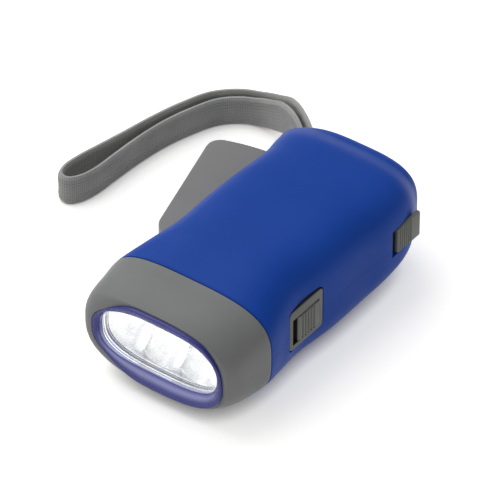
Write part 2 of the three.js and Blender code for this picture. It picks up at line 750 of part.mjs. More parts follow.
// Gear train: the lever's rack turns the pinion, the wheel beside it turns the rotor
const runGap = fitGap / 2;
const pinionHubTopZ = wheelTopZ + fitGap;
addPiece('drive_pinion', without(
  join(
    gearSolid(gearX, gearY, pinionTeeth, rackModule, driveLine + Math.PI * (1 + 1 / pinionTeeth),
      rackBottomZ - moveGap, wheelBottomZ - fitGap),
    post(gearX, gearY, hubRadius, rackTopZ, pinionHubTopZ),
  ),
  post(gearX, gearY, shaftRadius + runGap, 0, leverTopZ, 16),
), whitePlastic);
addPiece('drive_wheel', without(
  gearSolid(gearX, gearY, wheelTeeth, wheelModule, rotorLine, wheelBottomZ, wheelTopZ),
  post(gearX, gearY, hubRadius + fitGap, 0, leverTopZ, 16),
  ...[0, 1, 2, 3, 4].map((i) => {
    const turn = i * 2 * Math.PI / 5;
    const middle = (hubRadius + wheelRadius) / 2;
    const holeRadius = (wheelRadius - hubRadius) / 4;
    return post(gearX + middle * Math.cos(turn), gearY + middle * Math.sin(turn), holeRadius,
      wheelBottomZ - cutOverrun, wheelTopZ + cutOverrun, 12);
  }),
), whitePlastic);
const gearBossTopZ = rackBottomZ - moveGap * 2;
const gearShaftBottomZ = gearBossTopZ - shaftBossRadius * 3;
addPiece('gear_shaft', post(gearX, gearY, shaftRadius, gearShaftBottomZ, plateTopZ - fitGap, 16), steel);

const rotorPinionBottomZ = flywheelBottomZ + flywheelHeight + fitGap;
addPiece('rotor_pinion', without(
  gearSolid(rotorX, rotorY, rotorTeeth, wheelModule, rotorLine + Math.PI * (1 + 1 / rotorTeeth),
    rotorPinionBottomZ, wheelTopZ),
  post(rotorX, rotorY, shaftRadius + runGap, 0, leverTopZ, 16),
), whitePlastic);
const flywheelTopZ = flywheelBottomZ + flywheelHeight;
const flywheelHubRadius = shaftRadius + flywheelWeb;
addPiece('flywheel', without(
  post(rotorX, rotorY, flywheelRadius, flywheelBottomZ, flywheelTopZ, 28),
  without(
    post(rotorX, rotorY, flywheelRadius - flywheelRimWidth, flywheelBottomZ + flywheelWeb,
      flywheelTopZ + cutOverrun, 28),
    post(rotorX, rotorY, flywheelHubRadius, flywheelBottomZ, flywheelTopZ + cutOverrun * 2),
  ),
  post(rotorX, rotorY, shaftRadius + runGap, 0, leverTopZ, 16),
), steel);
const magnetTopZ = magnetBottomZ + magnetHeight;
addPiece('rotor_magnet', without(
  post(rotorX, rotorY, magnetRadius, magnetBottomZ, magnetTopZ, 28),
  post(rotorX, rotorY, shaftRadius + runGap, 0, leverTopZ, 16),
), magnetIron);
const rotorShaftBottomZ = skinZ(rotorX, rotorY, shellWall, -1) + fitGap;
addPiece('rotor_shaft', post(rotorX, rotorY, shaftRadius, rotorShaftBottomZ, plateTopZ - fitGap, 16), steel);

// Stator: a C of iron sheets whose shoes hug the magnet, with the coil on its back
const shoeInner = magnetRadius + moveGap;
const shoeOuter = shoeInner + shoeWidth;
const coreTopZ = coreBottomZ + coreHeight;
const legOffset = shoeOuter * legPlaceShare;
const coreBackX = rotorX - coreLength;
const legInner = legOffset - coreArm / 2;
const legOuter = legOffset + coreArm / 2;
function makeCore() {
  const spread = radians(shoeTurn);
  const shoes = [1, -1].map((side) => {
    const shape = new THREE.Shape();
    const start = side * Math.PI / 2 - spread;
    const end = side * Math.PI / 2 + spread;
    shape.absarc(rotorX, rotorY, shoeOuter, start, end, false);
    shape.absarc(rotorX, rotorY, shoeInner, end, start, true);
    return slab(shape, coreBottomZ, coreTopZ, 8);
  });
  const legs = [1, -1].map((side) => block(
    coreBackX, rotorX - Math.sqrt(shoeInner ** 2 - legInner ** 2),
    rotorY + Math.min(side * legInner, side * legOuter), rotorY + Math.max(side * legInner, side * legOuter),
    coreBottomZ, coreTopZ,
  ));
  const back = block(
    coreBackX, coreBackX + coreArm, rotorY - legOuter, rotorY + legOuter, coreBottomZ, coreTopZ,
  );
  const bore = post(rotorX, rotorY, shoeInner, 0, leverTopZ, 28);
  return without(join(...shoes, ...legs, back), bore);
}
addPiece('stator_core', makeCore(), magnetIron);

const coilX = coreBackX + coreArm / 2;
const coilZ = (coreBottomZ + coreTopZ) / 2;
const bobbinStartY = rotorY - legInner + fitGap;
const bobbinEndY = rotorY + legInner - fitGap;
function coilBlock(halfWidth, halfHeight, y0, y1) {
  return block(coilX - halfWidth, coilX + halfWidth, y0, y1, coilZ - halfHeight, coilZ + halfHeight);
}
const coreHole = coilBlock(coreArm / 2 + runGap, coreHeight / 2 + runGap, bobbinStartY - cutOverrun,
  bobbinEndY + cutOverrun);
const bobbinCore = coreArm / 2 + runGap + bobbinWall;
const bobbinCoreHeight = coreHeight / 2 + runGap + bobbinWall / 2;
addPiece('coil_bobbin', without(join(
  coilBlock(coilHalfWidth, coilHalfHeight, bobbinStartY, bobbinStartY + bobbinWall),
  coilBlock(coilHalfWidth, coilHalfHeight, bobbinEndY - bobbinWall, bobbinEndY),
  coilBlock(bobbinCore, bobbinCoreHeight, bobbinStartY, bobbinEndY),
), coreHole), blackPlastic);
addPiece('coil_winding', without(
  coilBlock(coilHalfWidth - bobbinWall, coilHalfHeight - runGap,
    bobbinStartY + bobbinWall + runGap, bobbinEndY - bobbinWall - runGap),
  coilBlock(bobbinCore + runGap / 2, bobbinCoreHeight + runGap / 2, bobbinStartY, bobbinEndY),
), copper);

// Gear plate over the shafts, screwed to two posts of the lower shell
const platePosts = [[rightPostX, rightPostY], [rearPostX, rearPostY]];
function makePlate() {
  const eyes = [[gearX, gearY], [rotorX, rotorY], ...platePosts];
  const discs = eyes.map(([x, y]) => post(x, y, plateMargin, plateBottomZ, plateTopZ, 16));
  const web = (a, b) => {
    const direction = new THREE.Vector2(b[0] - a[0], b[1] - a[1]).normalize().multiplyScalar(plateMargin);
    return slab(outline([
      [a[0] + direction.y, a[1] - direction.x], [b[0] + direction.y, b[1] - direction.x],
      [b[0] - direction.y, b[1] + direction.x], [a[0] - direction.y, a[1] + direction.x],
    ]), plateBottomZ, plateTopZ);
  };
  const holes = eyes.map(([x, y], i) => post(x, y, (i < 2 ? shaftRadius : screwRadius) + runGap, 0,
    leverTopZ, 16));
  const webs = [web(eyes[0], eyes[1]), web(eyes[0], eyes[2]), web(eyes[1], eyes[3])];
  return without(join(...discs, ...webs), ...holes);
}
addPiece('gear_plate', makePlate(), darkPlastic);

// A pan head screw; direction is 1 when its tip points up
function makeScrew(x, y, headZ, length, direction) {
  const geometry = turned([
    [0, -screwHeadHeight], [screwHeadRadius * screwFaceShare, -screwHeadHeight],
    [screwHeadRadius, -screwHeadHeight / 2], [screwHeadRadius, 0],
    [screwRadius, 0], [screwRadius, length - screwRadius], [0, length],
  ], 12);
  if (direction < 0) {
    geometry.rotateX(Math.PI);
  }
  geometry.translate(x, y, headZ);
  const cross = [0, 1].map((turn) => {
    const long = screwHeadRadius * crossLongShare;
    const thin = screwHeadRadius * crossThinShare;
    const along = turn ? long : thin;
    const across = turn ? thin : long;
    const outerZ = headZ - direction * screwHeadHeight * 2;
    const innerZ = headZ - direction * screwHeadHeight * (1 - crossDepthShare);
    return block(x - along, x + along, y - across, y + across,
      Math.min(outerZ, innerZ), Math.max(outerZ, innerZ));
  });
  return without(solid(geometry), ...cross);
}
platePosts.forEach(([x, y], i) => {
  addPiece(i ? 'plate_screw_rear' : 'plate_screw_right',
    makeScrew(x, y, plateTopZ + fitGap, plateScrewLength, -1), steel);
});

// Head: bezel, ring, window, reflector and lamps
const neckInset = bezelWall + fitGap;
const neckBoreInset = neckInset + neckWall;
const neckFrontY = headSeamY - neckLength;
const skinYs = headRingShares.map((share) => frontY + share * bodyLength)
  .filter((y) => y > windowY + fitGap && y < neckFrontY - fitGap);
const headYs = [frontY, windowY, ...skinYs, neckFrontY, headSeamY];
function bezelRings(lipYs, wallYs, extra) {
  return loft([
    ...lipYs.map((y) => skinRing(y, bezelLip + extra)), ...wallYs.map((y) => skinRing(y, bezelWall + extra)),
  ]);
}
addPiece('head_bezel', without(
  skinLoft(headYs, 0),
  bezelRings([frontY - cutOverrun, frontY, windowY], [windowY + fitGap, ...skinYs, neckFrontY,
    headSeamY + cutOverrun], 0),
), greyPlastic);

const flareRing = skinRing(ringFrontY, bezelLip + fitGap + ringLipWidth);
const ringOuter = skinRing(frontY, bezelLip + fitGap);
const windowRight = ringOuter.right - ringBandWidth;
const windowLeft = ringOuter.left - ringBandWidth;
const windowHalfHeight = ringOuter.tall - ringBandHeight;
const cupRadius = windowHalfHeight - cupMargin;
const cupSpacing = (windowRight + windowLeft) / 2 - cupRadius;
const lampMiddleX = (windowRight - windowLeft) / 2;

// Outline of the window at y, moved outwards by extra
function windowRing(y, extra) {
  return ovalRing(y, windowRight + extra, windowLeft + extra, windowHalfHeight + extra, windowSquare);
}
addPiece('lens_ring', without(
  bezelRings([ringFrontY, windowY], [windowY + fitGap, lensBackY], fitGap),
  loft([
    { ...flareRing, y: ringFrontY - cutOverrun }, flareRing,
    windowRing(frontY + ringEdgeDepth, 0),
    windowRing(lensFrontY, 0),
  ]),
  loft([
    windowRing(windowY + lensSeatWidth, lensSeatWidth),
    windowRing(lensBackY + cutOverrun, lensSeatWidth),
  ]),
), violetPlastic);
addPiece('front_lens', loft([
  windowRing(lensFrontY, lensSeatWidth - fitGap),
  windowRing(lensBackY, lensSeatWidth - fitGap),
]), clearPlastic);

// One reflector cup, opening towards -Y; extra is the skin outside the mirror
function cup(x, extra, frontYValue) {
  const depth = reflectorDepth - reflectorSkin + extra;
  const steps = 4;
  const profile = [];
  for (let i = 0; i <= steps; i += 1) {
    const share = i / steps;
    profile.push([(cupRadius + extra) * share, depth * (share ** 2 - 1)]);
  }
  profile.push([cupRadius + extra, cutOverrun], [0, cutOverrun]);
  const geometry = turned(profile, 18);
  geometry.rotateX(Math.PI / 2);
  geometry.translate(x, frontYValue, middleZ);
  return solid(geometry);
}
const lampXs = Array.from({ length: lampCount },
  (value, i) => lampMiddleX + (i - (lampCount - 1) / 2) * cupSpacing);
function alongY(x, z, radius, y0, y1, sides = 12) {
  const geometry = new THREE.CylinderGeometry(radius, radius, y1 - y0, sides);
  geometry.translate(x, (y0 + y1) / 2, z);
  return solid(geometry);
}
const lampHoleRadius = lampRadius + fitGap;
const flangeRim = skinRing(reflectorFrontY, neckInset);
addPiece('reflector', without(
  join(
    loft([flangeRim, { ...flangeRim, y: reflectorFrontY + reflectorSkin }]),
    ...lampXs.map((x) => cup(x, reflectorSkin, reflectorFrontY)
      .subtract(block(-bodyLength, bodyLength, -bodyLength, reflectorFrontY, 0, bodyLength))),
  ),
  ...lampXs.map((x) => cup(x, 0, reflectorFrontY)),
  ...lampXs.map((x) => alongY(x, middleZ, lampHoleRadius, reflectorFrontY, reflectorBackY + cutOverrun)),
), mirrorPlastic);

function makeLamp(x) {
  const flangeFrontY = reflectorBackY + fitGap;
  const flangeBackY = flangeFrontY + lampFlange * 2;
  const domeSteps = 4;
  const profile = [[0, 0], [lampRadius + lampFlange, 0], [lampRadius + lampFlange, lampFlange * 2],
    [lampRadius, lampFlange * 2]];
  for (let i = 0; i <= domeSteps; i += 1) {
    const turn = Math.PI / 2 * i / domeSteps;
    profile.push([lampRadius * Math.cos(turn), lampLength - lampRadius + lampRadius * Math.sin(turn)]);
  }
  profile[profile.length - 1][0] = 0;
  const geometry = turned(profile, 12);
  geometry.rotateX(Math.PI / 2);
  geometry.translate(x, flangeBackY, middleZ);
  const legs = [-1, 1].map((side) => alongY(x + side * lampLegSpacing / 2, middleZ, lampLegRadius,
    flangeBackY - lampFlange, ledBoardFrontY - fitGap, 6));
  return join(solid(geometry), ...legs);
}
const lampNames = ['left', 'middle', 'right'];
lampXs.forEach((x, i) => addPiece(`led_${lampNames[i] ?? i}`, makeLamp(x), clearPlastic));
addPiece('led_board', skinLoft([ledBoardFrontY, ledBoardBackY], neckBoreInset + fitGap * 3)
  .intersect(block(-bodyLength, bodyLength, frontY, rearY, middleZ - ledBoardHeight / 2,
    middleZ + ledBoardHeight / 2)), greenBoard);

// Battery of button cells in its cradle, with a contact at each end
const cellEndX = cellX + cellCount * cellThickness + (cellCount - 1) * cellGap;
const cradleStartX = cellX - fitGap * 2 - contactThickness - cradleWall;
const cradleEndX = cellEndX + fitGap * 2 + contactThickness + cradleWall;
const troughRadius = cellRadius + fitGap;
function alongX(y, z, radius, x0, x1, sides = 20) {
  const geometry = new THREE.CylinderGeometry(radius, radius, x1 - x0, sides);
  geometry.rotateZ(Math.PI / 2);
  geometry.translate((x0 + x1) / 2, y, z);
  return solid(geometry);
}
const cradleBottomZ = Math.max(...[-1, 0, 1].map((end) => skinZ(
  cradleEndX, cellY + end * (troughRadius + cradleWall), shellWall, -1,
))) + fitGap;
addPiece('battery_cradle', without(
  block(cradleStartX, cradleEndX, cellY - troughRadius - cradleWall, cellY + troughRadius + cradleWall,
    cradleBottomZ, cellZ),
  alongX(cellY, cellZ, troughRadius, cradleStartX + cradleWall, cradleEndX - cradleWall),
), blackPlastic);
for (let i = 0; i < cellCount; i += 1) {
  const startX = cellX + i * (cellThickness + cellGap);
  const endX = startX + cellThickness;
  addPiece(`battery_cell_${i + 1}`, join(
    alongX(cellY, cellZ, cellRadius, startX, endX - cellThickness * cellCapShare),
    alongX(cellY, cellZ, cellRadius * cellCapWidthShare, startX + cellThickness / 2, endX),
  ), steel);
}
const contactHalf = cellRadius * contactHalfShare;
addPiece('battery_contact_left', block(cellX - fitGap - contactThickness, cellX - fitGap, cellY - contactHalf,
  cellY + contactHalf, cellZ - contactHalf, cellZ + contactHalf), steel);
addPiece('battery_contact_right', block(cellEndX + fitGap, cellEndX + fitGap + contactThickness,
  cellY - contactHalf, cellY + contactHalf, cellZ - contactHalf, cellZ + contactHalf), steel);

// Upright circuit board beside the battery
const circuitBoardX = cradleEndX + fitGap;
const circuitBoardEndX = circuitBoardX + boardThickness;
const circuitBoardY0 = frontBossY + caseBossRadius + boardFrontGap;
const circuitBoardY1 = circuitBoardY0 + circuitBoardLength;
addPiece('circuit_board', block(circuitBoardX, circuitBoardEndX, circuitBoardY0, circuitBoardY1,
  circuitBoardZ, circuitBoardZ + circuitBoardHeight), greenBoard);
addPiece('capacitor', alongX(cellY + capacitorRadius * 2,
  cellZ + cellRadius + capacitorRadius * capacitorRiseShare, capacitorRadius,
  circuitBoardX - fitGap - capacitorHeight, circuitBoardX - fitGap, 16), blackPlastic);
addPiece('rectifier_chip', block(circuitBoardEndX + fitGap, circuitBoardEndX + fitGap + chipDepth,
  circuitBoardY0 + chipFrontGap, circuitBoardY0 + chipFrontGap + chipLength,
  circuitBoardZ + chipLength, circuitBoardZ + chipLength * 2), blackPlastic);

// Light switch: plate let into the wall, knob in its slot, slide switch on the board
const switchPlateFrontY = switchPlateRearY - switchPlateLength;
const plateZ0 = knobMiddleZ + plateRise - switchPlateHeight / 2;
const plateZ1 = plateZ0 + switchPlateHeight;
const plateBackX = switchPlateFaceX - switchPlateStand - switchPlateThickness;
const knobRearY = switchPlateRearY - switchMargin - fitGap;
const knobFrontY = knobRearY - knobLength;
const knobY = (knobRearY + knobFrontY) / 2;
const switchBodyY = knobY - switchTravel / 2;
const slotY0 = knobFrontY - switchTravel - fitGap;
const slotY1 = knobRearY + fitGap;
const slotZ0 = knobMiddleZ - knobHeight / 2 - slideGap;
const slotZ1 = knobMiddleZ + knobHeight / 2 + slideGap;
const knobFaceX = switchPlateFaceX + knobProud;
const flangeBackX = plateBackX - switchPlateThickness;
const knobFlangeX = flangeBackX - fitGap;
addPiece('switch_plate', without(
  join(
    crossPlate(roundedRectangle(switchPlateFrontY, switchPlateRearY, plateZ0, plateZ1, switchCornerRadius),
      plateBackX - fitGap, switchPlateFaceX),
    crossPlate(roundedRectangle(
      switchPlateFrontY - switchFlangeRim, switchPlateRearY + switchFlangeRim,
      plateZ0 - switchFlangeRim, plateZ1 + switchFlangeRim, switchCornerRadius,
    ), flangeBackX, plateBackX - fitGap * 3),
    crossPlate(roundedRectangle(switchPlateFrontY, switchPlateRearY, plateZ0, plateZ1, switchCornerRadius),
      flangeBackX, plateBackX),
  ),
  block(flangeBackX - cutOverrun, switchPlateFaceX + cutOverrun, slotY0, slotY1, slotZ0, slotZ1),
), darkPlastic);

// Outline of a ribbed thumb piece in the XY plane; grooves is where the first groove lies
function thumbOutline(y0, y1, backX, faceX, rampLength, rampDrop, firstGrooveY) {
  const points = [[backX, y0], [faceX - rampDrop, y0], [faceX, y0 + rampLength]];
  for (let i = 0; i < grooveCount; i += 1) {
    const y = firstGrooveY + i * groovePitch;
    points.push([faceX, y], [faceX - grooveDepth, y + grooveWidth * grooveFlankShare],
      [faceX - grooveDepth, y + grooveWidth * (1 - grooveFlankShare)], [faceX, y + grooveWidth]);
  }
  points.push([faceX, y1], [backX, y1]);
  return outline(points);
}
const knobZ0 = knobMiddleZ - knobHeight / 2;
const knobZ1 = knobMiddleZ + knobHeight / 2;
const switchBodyX = circuitBoardEndX + fitGap;
const switchBodyEndX = knobFlangeX - switchPlateThickness - moveGap;
const switchBodyDepth = switchBodyEndX - switchBodyX;
addPiece('switch_knob', join(
  slab(thumbOutline(knobFrontY, knobRearY, knobFlangeX - switchPlateThickness / 2, knobFaceX,
    knobRampLength, knobRampDrop, knobFrontY + knobRampLength + grooveWidth), knobZ0, knobZ1),
  block(knobFlangeX - switchPlateThickness, knobFlangeX,
    slotY0 - slideGap + switchTravel - switchFlangeRim, slotY1 + slideGap + switchFlangeRim,
    slotZ0 - switchFlangeRim, slotZ1 + switchFlangeRim),
  block(switchBodyEndX - switchBodyDepth * actuatorDepthShare, knobFlangeX - switchPlateThickness / 2,
    knobY - actuatorWidth / 2, knobY + actuatorWidth / 2,
    switchMiddleZ - actuatorWidth / 2, switchMiddleZ + actuatorWidth / 2),
), darkPlastic);
addPiece('slide_switch', without(
  block(switchBodyX, switchBodyEndX, switchBodyY - switchBodyLength / 2,
    switchBodyY + switchBodyLength / 2,
    switchMiddleZ - switchBodyHeight / 2, switchMiddleZ + switchBodyHeight / 2),
  block(switchBodyEndX - switchBodyDepth * actuatorRoomShare, switchBodyEndX + cutOverrun,
    knobY - actuatorWidth / 2 - switchTravel - slideGap, knobY + actuatorWidth / 2 + slideGap,
    switchMiddleZ - actuatorWidth / 2 - slideGap, switchMiddleZ + actuatorWidth / 2 + slideGap),
), blackPlastic);

// Lever lock: thumb piece outside, bar inside, and an arm over the gears to a hook
const lockFrontY = lockRearY - lockLength;
const lockZ0 = middleZ + lockRise - lockHeight / 2;
const lockZ1 = lockZ0 + lockHeight;
const lockBackX = lockFaceX - lockThickness;
const lockStemY1 = lockRearY - lockTravel - slideGap / 2;
const lockStemY0 = lockStemY1 - lockStemLength;
const lockStemZ0 = middleZ - lockStemHeight / 2;
const lockStemZ1 = middleZ + lockStemHeight / 2;
const catchInner = leverReach - catchInset - catchDepth;
const lockArmY1 = fromPivot(catchInner, leverSqueeze)[1] - lockTravel - moveGap;
const lockArmY0 = lockArmY1 - lockArmWidth;
const lockArmZ = leverTopZ + slideGap + slideGap / 2;
const lockHookX = fromPivot(catchInner, leverSqueeze - catchTurn)[0] - moveGap;
const lockHookY = pivotY + Math.sqrt((catchInner - moveGap) ** 2 - (lockHookX - pivotX) ** 2) - slideGap;
const lockBarX = lockFlangeX - lockFlangeThickness;
addPiece('lock_slider', join(
  slab(thumbOutline(lockFrontY, lockRearY, lockBackX, lockFaceX, grooveWidth, grooveDepth,
    lockFrontY + grooveWidth + grooveWidth / 2), lockZ0, lockZ1),
  block(lockBarX, (lockBackX + lockFaceX) / 2, lockStemY0, lockStemY1, lockStemZ0, lockStemZ1),
  block(lockBarX, lockFlangeX, lockStemY0 - lockFlangeRim, lockStemY1 + lockFlangeRim,
    lockStemZ0 - lockFlangeRim, lockStemZ1 + lockFlangeRim),
  block(lockBarX, lockFlangeX, lockArmY0, lockStemY1, lockWebZ, lockWebZ + lockArmHeight),
  block(lockRiserX, lockFlangeX, lockArmY0, lockArmY1, lockWebZ, lockWebZ + lockArmHeight),
  block(lockRiserX, lockRiserX + lockArmHeight, lockArmY0, lockArmY1, lockWebZ, lockArmZ + lockArmHeight),
  block(lockHookX - lockHookWidth, lockRiserX + lockArmHeight, lockArmY0, lockArmY1, lockArmZ,
    lockArmZ + lockArmHeight),
  block(lockHookX - lockHookWidth, lockHookX, lockArmY0, lockHookY, lockArmZ, lockArmZ + lockArmHeight),
), darkPlastic);

// Case screws, driven from below near the four corners
const caseBosses = [
  ['front_left', frontLeftBossX, frontBossY], ['front_right', frontRightBossX, frontBossY],
  ['rear_left', rearLeftBossX, rearBossY], ['rear_right', rearRightBossX, rearBossY],
].map(([place, x, y]) => ({ place, x, y, seatZ: skinZ(x, y, 0, -1) + shellWall * seatShare }));
caseBosses.forEach(({ place, x, y, seatZ }) => {
  addPiece(`case_screw_${place}`, makeScrew(x, y, seatZ - fitGap, caseScrewLength, 1), steel);
});

// Wrist strap: flat webbing on edge, from its slot round the loop and back
const strapShift = new THREE.Vector3(strapExitAside - bodyHalfWidth - strapRoute[0][0],
  rearY - strapExitAhead - strapRoute[0][1], 0);
const strapPoints = strapRoute.map(([x, y, z]) => new THREE.Vector3(x, y, z).add(strapShift));
const strapInner = strapPoints[0].clone().lerp(strapPoints[strapPoints.length - 1], 0.5);
const strapOuter = strapPoints[3].clone().lerp(strapPoints[strapPoints.length - 4], 0.5);
const strapHeading = strapOuter.sub(strapInner).setZ(0).normalize();
const strapPinPlace = strapInner.clone().addScaledVector(strapHeading, -strapPinRadius - strapPinGap);
const strapPinX = strapPinPlace.x;
const strapPinY = strapPinPlace.y;
const strapSlotZ0 = strapInner.z - strapWidth / 2 - slideGap * 2;
const strapSlotZ1 = strapInner.z + strapWidth / 2 + slideGap * 2;
const strapPinBottomZ = skinZ(strapPinX, strapPinY, shellWall, -1) + fitGap;
const strapPinTopZ = skinZ(strapPinX, strapPinY, shellWall, 1) - fitGap;
addPiece('strap_pin', post(strapPinX, strapPinY, strapPinRadius, strapPinBottomZ, strapPinTopZ, 16), steel);

function makeStrap() {
  const path = new THREE.CatmullRomCurve3(strapPoints, false, 'centripetal');
  const sides = 8;
  const geometry = new THREE.CylinderGeometry(1, 1, 1, sides, strapSteps);
  const position = geometry.attributes.position;
  const up = new THREE.Vector3(0, 0, 1);
  for (let i = 0; i < position.count; i += 1) {
    const share = Math.round((position.getY(i) + 0.5) * strapSteps) / strapSteps;
    const centre = path.getPointAt(share);
    const along = path.getTangentAt(share);
    const aside = new THREE.Vector3().crossVectors(along, up).normalize();
    const tall = new THREE.Vector3().crossVectors(aside, along);
    const reach = Math.hypot(position.getX(i), position.getZ(i)) > 0.5 ? 1 : 0;
    const turn = Math.atan2(position.getZ(i), position.getX(i)) + Math.PI / sides;
    const flat = (value) => Math.sign(value) * Math.min(Math.abs(value) * strapFlatShare, 1);
    centre.addScaledVector(aside, reach * flat(Math.cos(turn)) * strapThickness / 2);
    centre.addScaledVector(tall, reach * flat(Math.sin(turn)) * strapWidth / 2);
    position.setXYZ(i, centre.x, centre.y, centre.z);
  }
  return solid(geometry);
}
addPiece('wrist_strap', makeStrap(), webbing);

// Shells: one skin and one cavity, split at the middle, with the bosses that carry the works
const cavityYs = [headSeamY + shellWall, ...bodyYs.slice(2, -2), rearY - shellWall];
function makeShells() {
  const skin = skinLoft(bodyYs, 0);
  const limit = skinLoft(bodyYs, shellWall / 2);
  const neck = skinLoft([neckFrontY, headSeamY, headSeamY + shellWall], neckInset);
  const neckBore = skinLoft([neckFrontY - cutOverrun, headSeamY + shellWall + cutOverrun], neckBoreInset);
  const cavity = skinLoft(cavityYs, shellWall);
  const roofZ = middleZ + bodyHalfHeight;
  const lowBosses = [
    post(pivotX, pivotY, pinBossRadius, 0, leverBottomZ - slideGap),
    post(gearX, gearY, shaftBossRadius, 0, gearBossTopZ),
    post(rotorX, rotorY, shaftBossRadius, 0, magnetBottomZ - moveGap),
    ...platePosts.map(([x, y]) => post(x, y, postRadius, 0, plateBottomZ - fitGap)),
    ...caseBosses.map(({ x, y }) => post(x, y, caseBossRadius, 0, middleZ - seamGap / 2)),
    post(strapPinX, strapPinY, postRadius, 0, strapSlotZ0 - fitGap),
    ...[circuitBoardY0 + boardRibWidth, circuitBoardY1 - boardRibWidth].map((y) => block(
      circuitBoardEndX + fitGap, circuitBoardEndX + fitGap + boardRibWidth, y - boardRibWidth / 2,
      y + boardRibWidth / 2, 0, circuitBoardZ + boardRibWidth)),
  ];
  const highBosses = [
    post(pivotX, pivotY, pinBossRadius, leverTopZ + slideGap, roofZ),
    ...caseBosses.map(({ x, y }) => post(x, y, caseBossRadius, middleZ + seamGap / 2, roofZ)),
    post(strapPinX, strapPinY, postRadius, strapSlotZ1 + fitGap, roofZ),
  ];
  const slotCorners = [[0, -1], [0, 1], [strapSlotLength, 1], [strapSlotLength, -1]].map(([along, side]) => [
    strapPinX + strapHeading.x * along - strapHeading.y * side * strapSlotWidth / 2,
    strapPinY + strapHeading.y * along + strapHeading.x * side * strapSlotWidth / 2,
  ]);
  const cuts = [
    slab(leverOutline(-slideGap), leverBottomZ - slideGap, leverTopZ + slideGap),
    post(pivotX, pivotY, pinRadius + runGap, pinBottomZ - fitGap, pinTopZ + fitGap),
    post(gearX, gearY, shaftRadius + runGap, gearShaftBottomZ - fitGap, leverTopZ, 16),
    post(rotorX, rotorY, shaftRadius + runGap, rotorShaftBottomZ - fitGap, leverTopZ, 16),
    ...platePosts.map(([x, y]) => post(x, y, screwRadius + runGap,
      plateTopZ - plateScrewLength, leverTopZ, 12)),
    ...caseBosses.map(({ x, y, seatZ }) => post(x, y, screwRadius + runGap, 0,
      seatZ + caseScrewLength + fitGap, 12)),
    ...caseBosses.map(({ x, y, seatZ }) => post(x, y, screwHeadRadius + fitGap, -cutOverrun, seatZ, 16)),
    post(strapPinX, strapPinY, strapPinRadius + runGap, strapPinBottomZ - fitGap, strapPinTopZ + fitGap, 16),
    slab(outline(slotCorners), strapSlotZ0, strapSlotZ1),
    crossPlate(roundedRectangle(switchPlateFrontY - fitGap, switchPlateRearY + fitGap, plateZ0 - fitGap,
      plateZ1 + fitGap, switchCornerRadius + fitGap), knobFlangeX, bodyHalfWidth + cutOverrun),
    crossPlate(roundedRectangle(
      switchPlateFrontY - switchFlangeRim - fitGap, switchPlateRearY + switchFlangeRim + fitGap,
      plateZ0 - switchFlangeRim - fitGap, plateZ1 + switchFlangeRim + fitGap, switchCornerRadius,
    ), knobFlangeX, plateBackX - fitGap * 2),
    block(lockFlangeX, bodyHalfWidth + cutOverrun, lockStemY0 - slideGap, lockStemY1 + lockTravel + slideGap,
      lockStemZ0 - slideGap, lockStemZ1 + slideGap),
    block(lockBackX - fitGap, bodyHalfWidth + cutOverrun, lockFrontY - lockFrontGap, rearY,
      lockZ0 - slideGap, lockZ1 + slideGap),
  ];
  const hollow = without(join(skin, neck), cavity, neckBore);
  const ground = block(-bodyLength, bodyLength, -bodyLength, bodyLength, -bodyLength, 0);
  const low = block(-bodyLength, bodyLength, -bodyLength, bodyLength, -bodyLength, middleZ - seamGap / 2);
  const high = block(-bodyLength, bodyLength, -bodyLength, bodyLength, middleZ + seamGap / 2, bodyLength);
  return {
    upper: without(join(hollow.intersect(high), join(...highBosses).intersect(limit)), ...cuts),
    lower: without(join(hollow.intersect(low), join(...lowBosses).intersect(limit)), ground, ...cuts),
  };
}
const shells = makeShells();
addPiece('upper_shell', shells.upper, bluePlastic);
addPiece('lower_shell', shells.lower, bluePlastic);

export default model;
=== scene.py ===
import json
import math

import bmesh
import bpy
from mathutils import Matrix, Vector


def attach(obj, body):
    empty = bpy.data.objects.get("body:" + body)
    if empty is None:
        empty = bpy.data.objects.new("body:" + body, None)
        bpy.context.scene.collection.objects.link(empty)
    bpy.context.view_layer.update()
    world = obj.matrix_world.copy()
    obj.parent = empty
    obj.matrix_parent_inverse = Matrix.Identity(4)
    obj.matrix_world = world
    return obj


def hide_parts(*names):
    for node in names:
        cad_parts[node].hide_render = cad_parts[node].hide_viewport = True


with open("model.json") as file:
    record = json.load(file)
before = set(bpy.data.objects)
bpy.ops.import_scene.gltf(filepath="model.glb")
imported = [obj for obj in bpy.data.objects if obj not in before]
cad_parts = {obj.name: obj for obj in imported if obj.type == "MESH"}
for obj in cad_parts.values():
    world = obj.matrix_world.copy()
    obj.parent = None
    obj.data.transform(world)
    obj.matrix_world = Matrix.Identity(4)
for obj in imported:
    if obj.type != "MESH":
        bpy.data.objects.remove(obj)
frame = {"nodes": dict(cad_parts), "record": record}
for leftover in ("Cube", "Light", "Camera"):
    if leftover in bpy.data.objects:
        bpy.data.objects.remove(bpy.data.objects[leftover])
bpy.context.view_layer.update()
print("frame loaded:", len(frame["nodes"]), "nodes")

# Sizes below are millimetres in the part's own frame; metre turns them into Blender's units
metre = 0.001

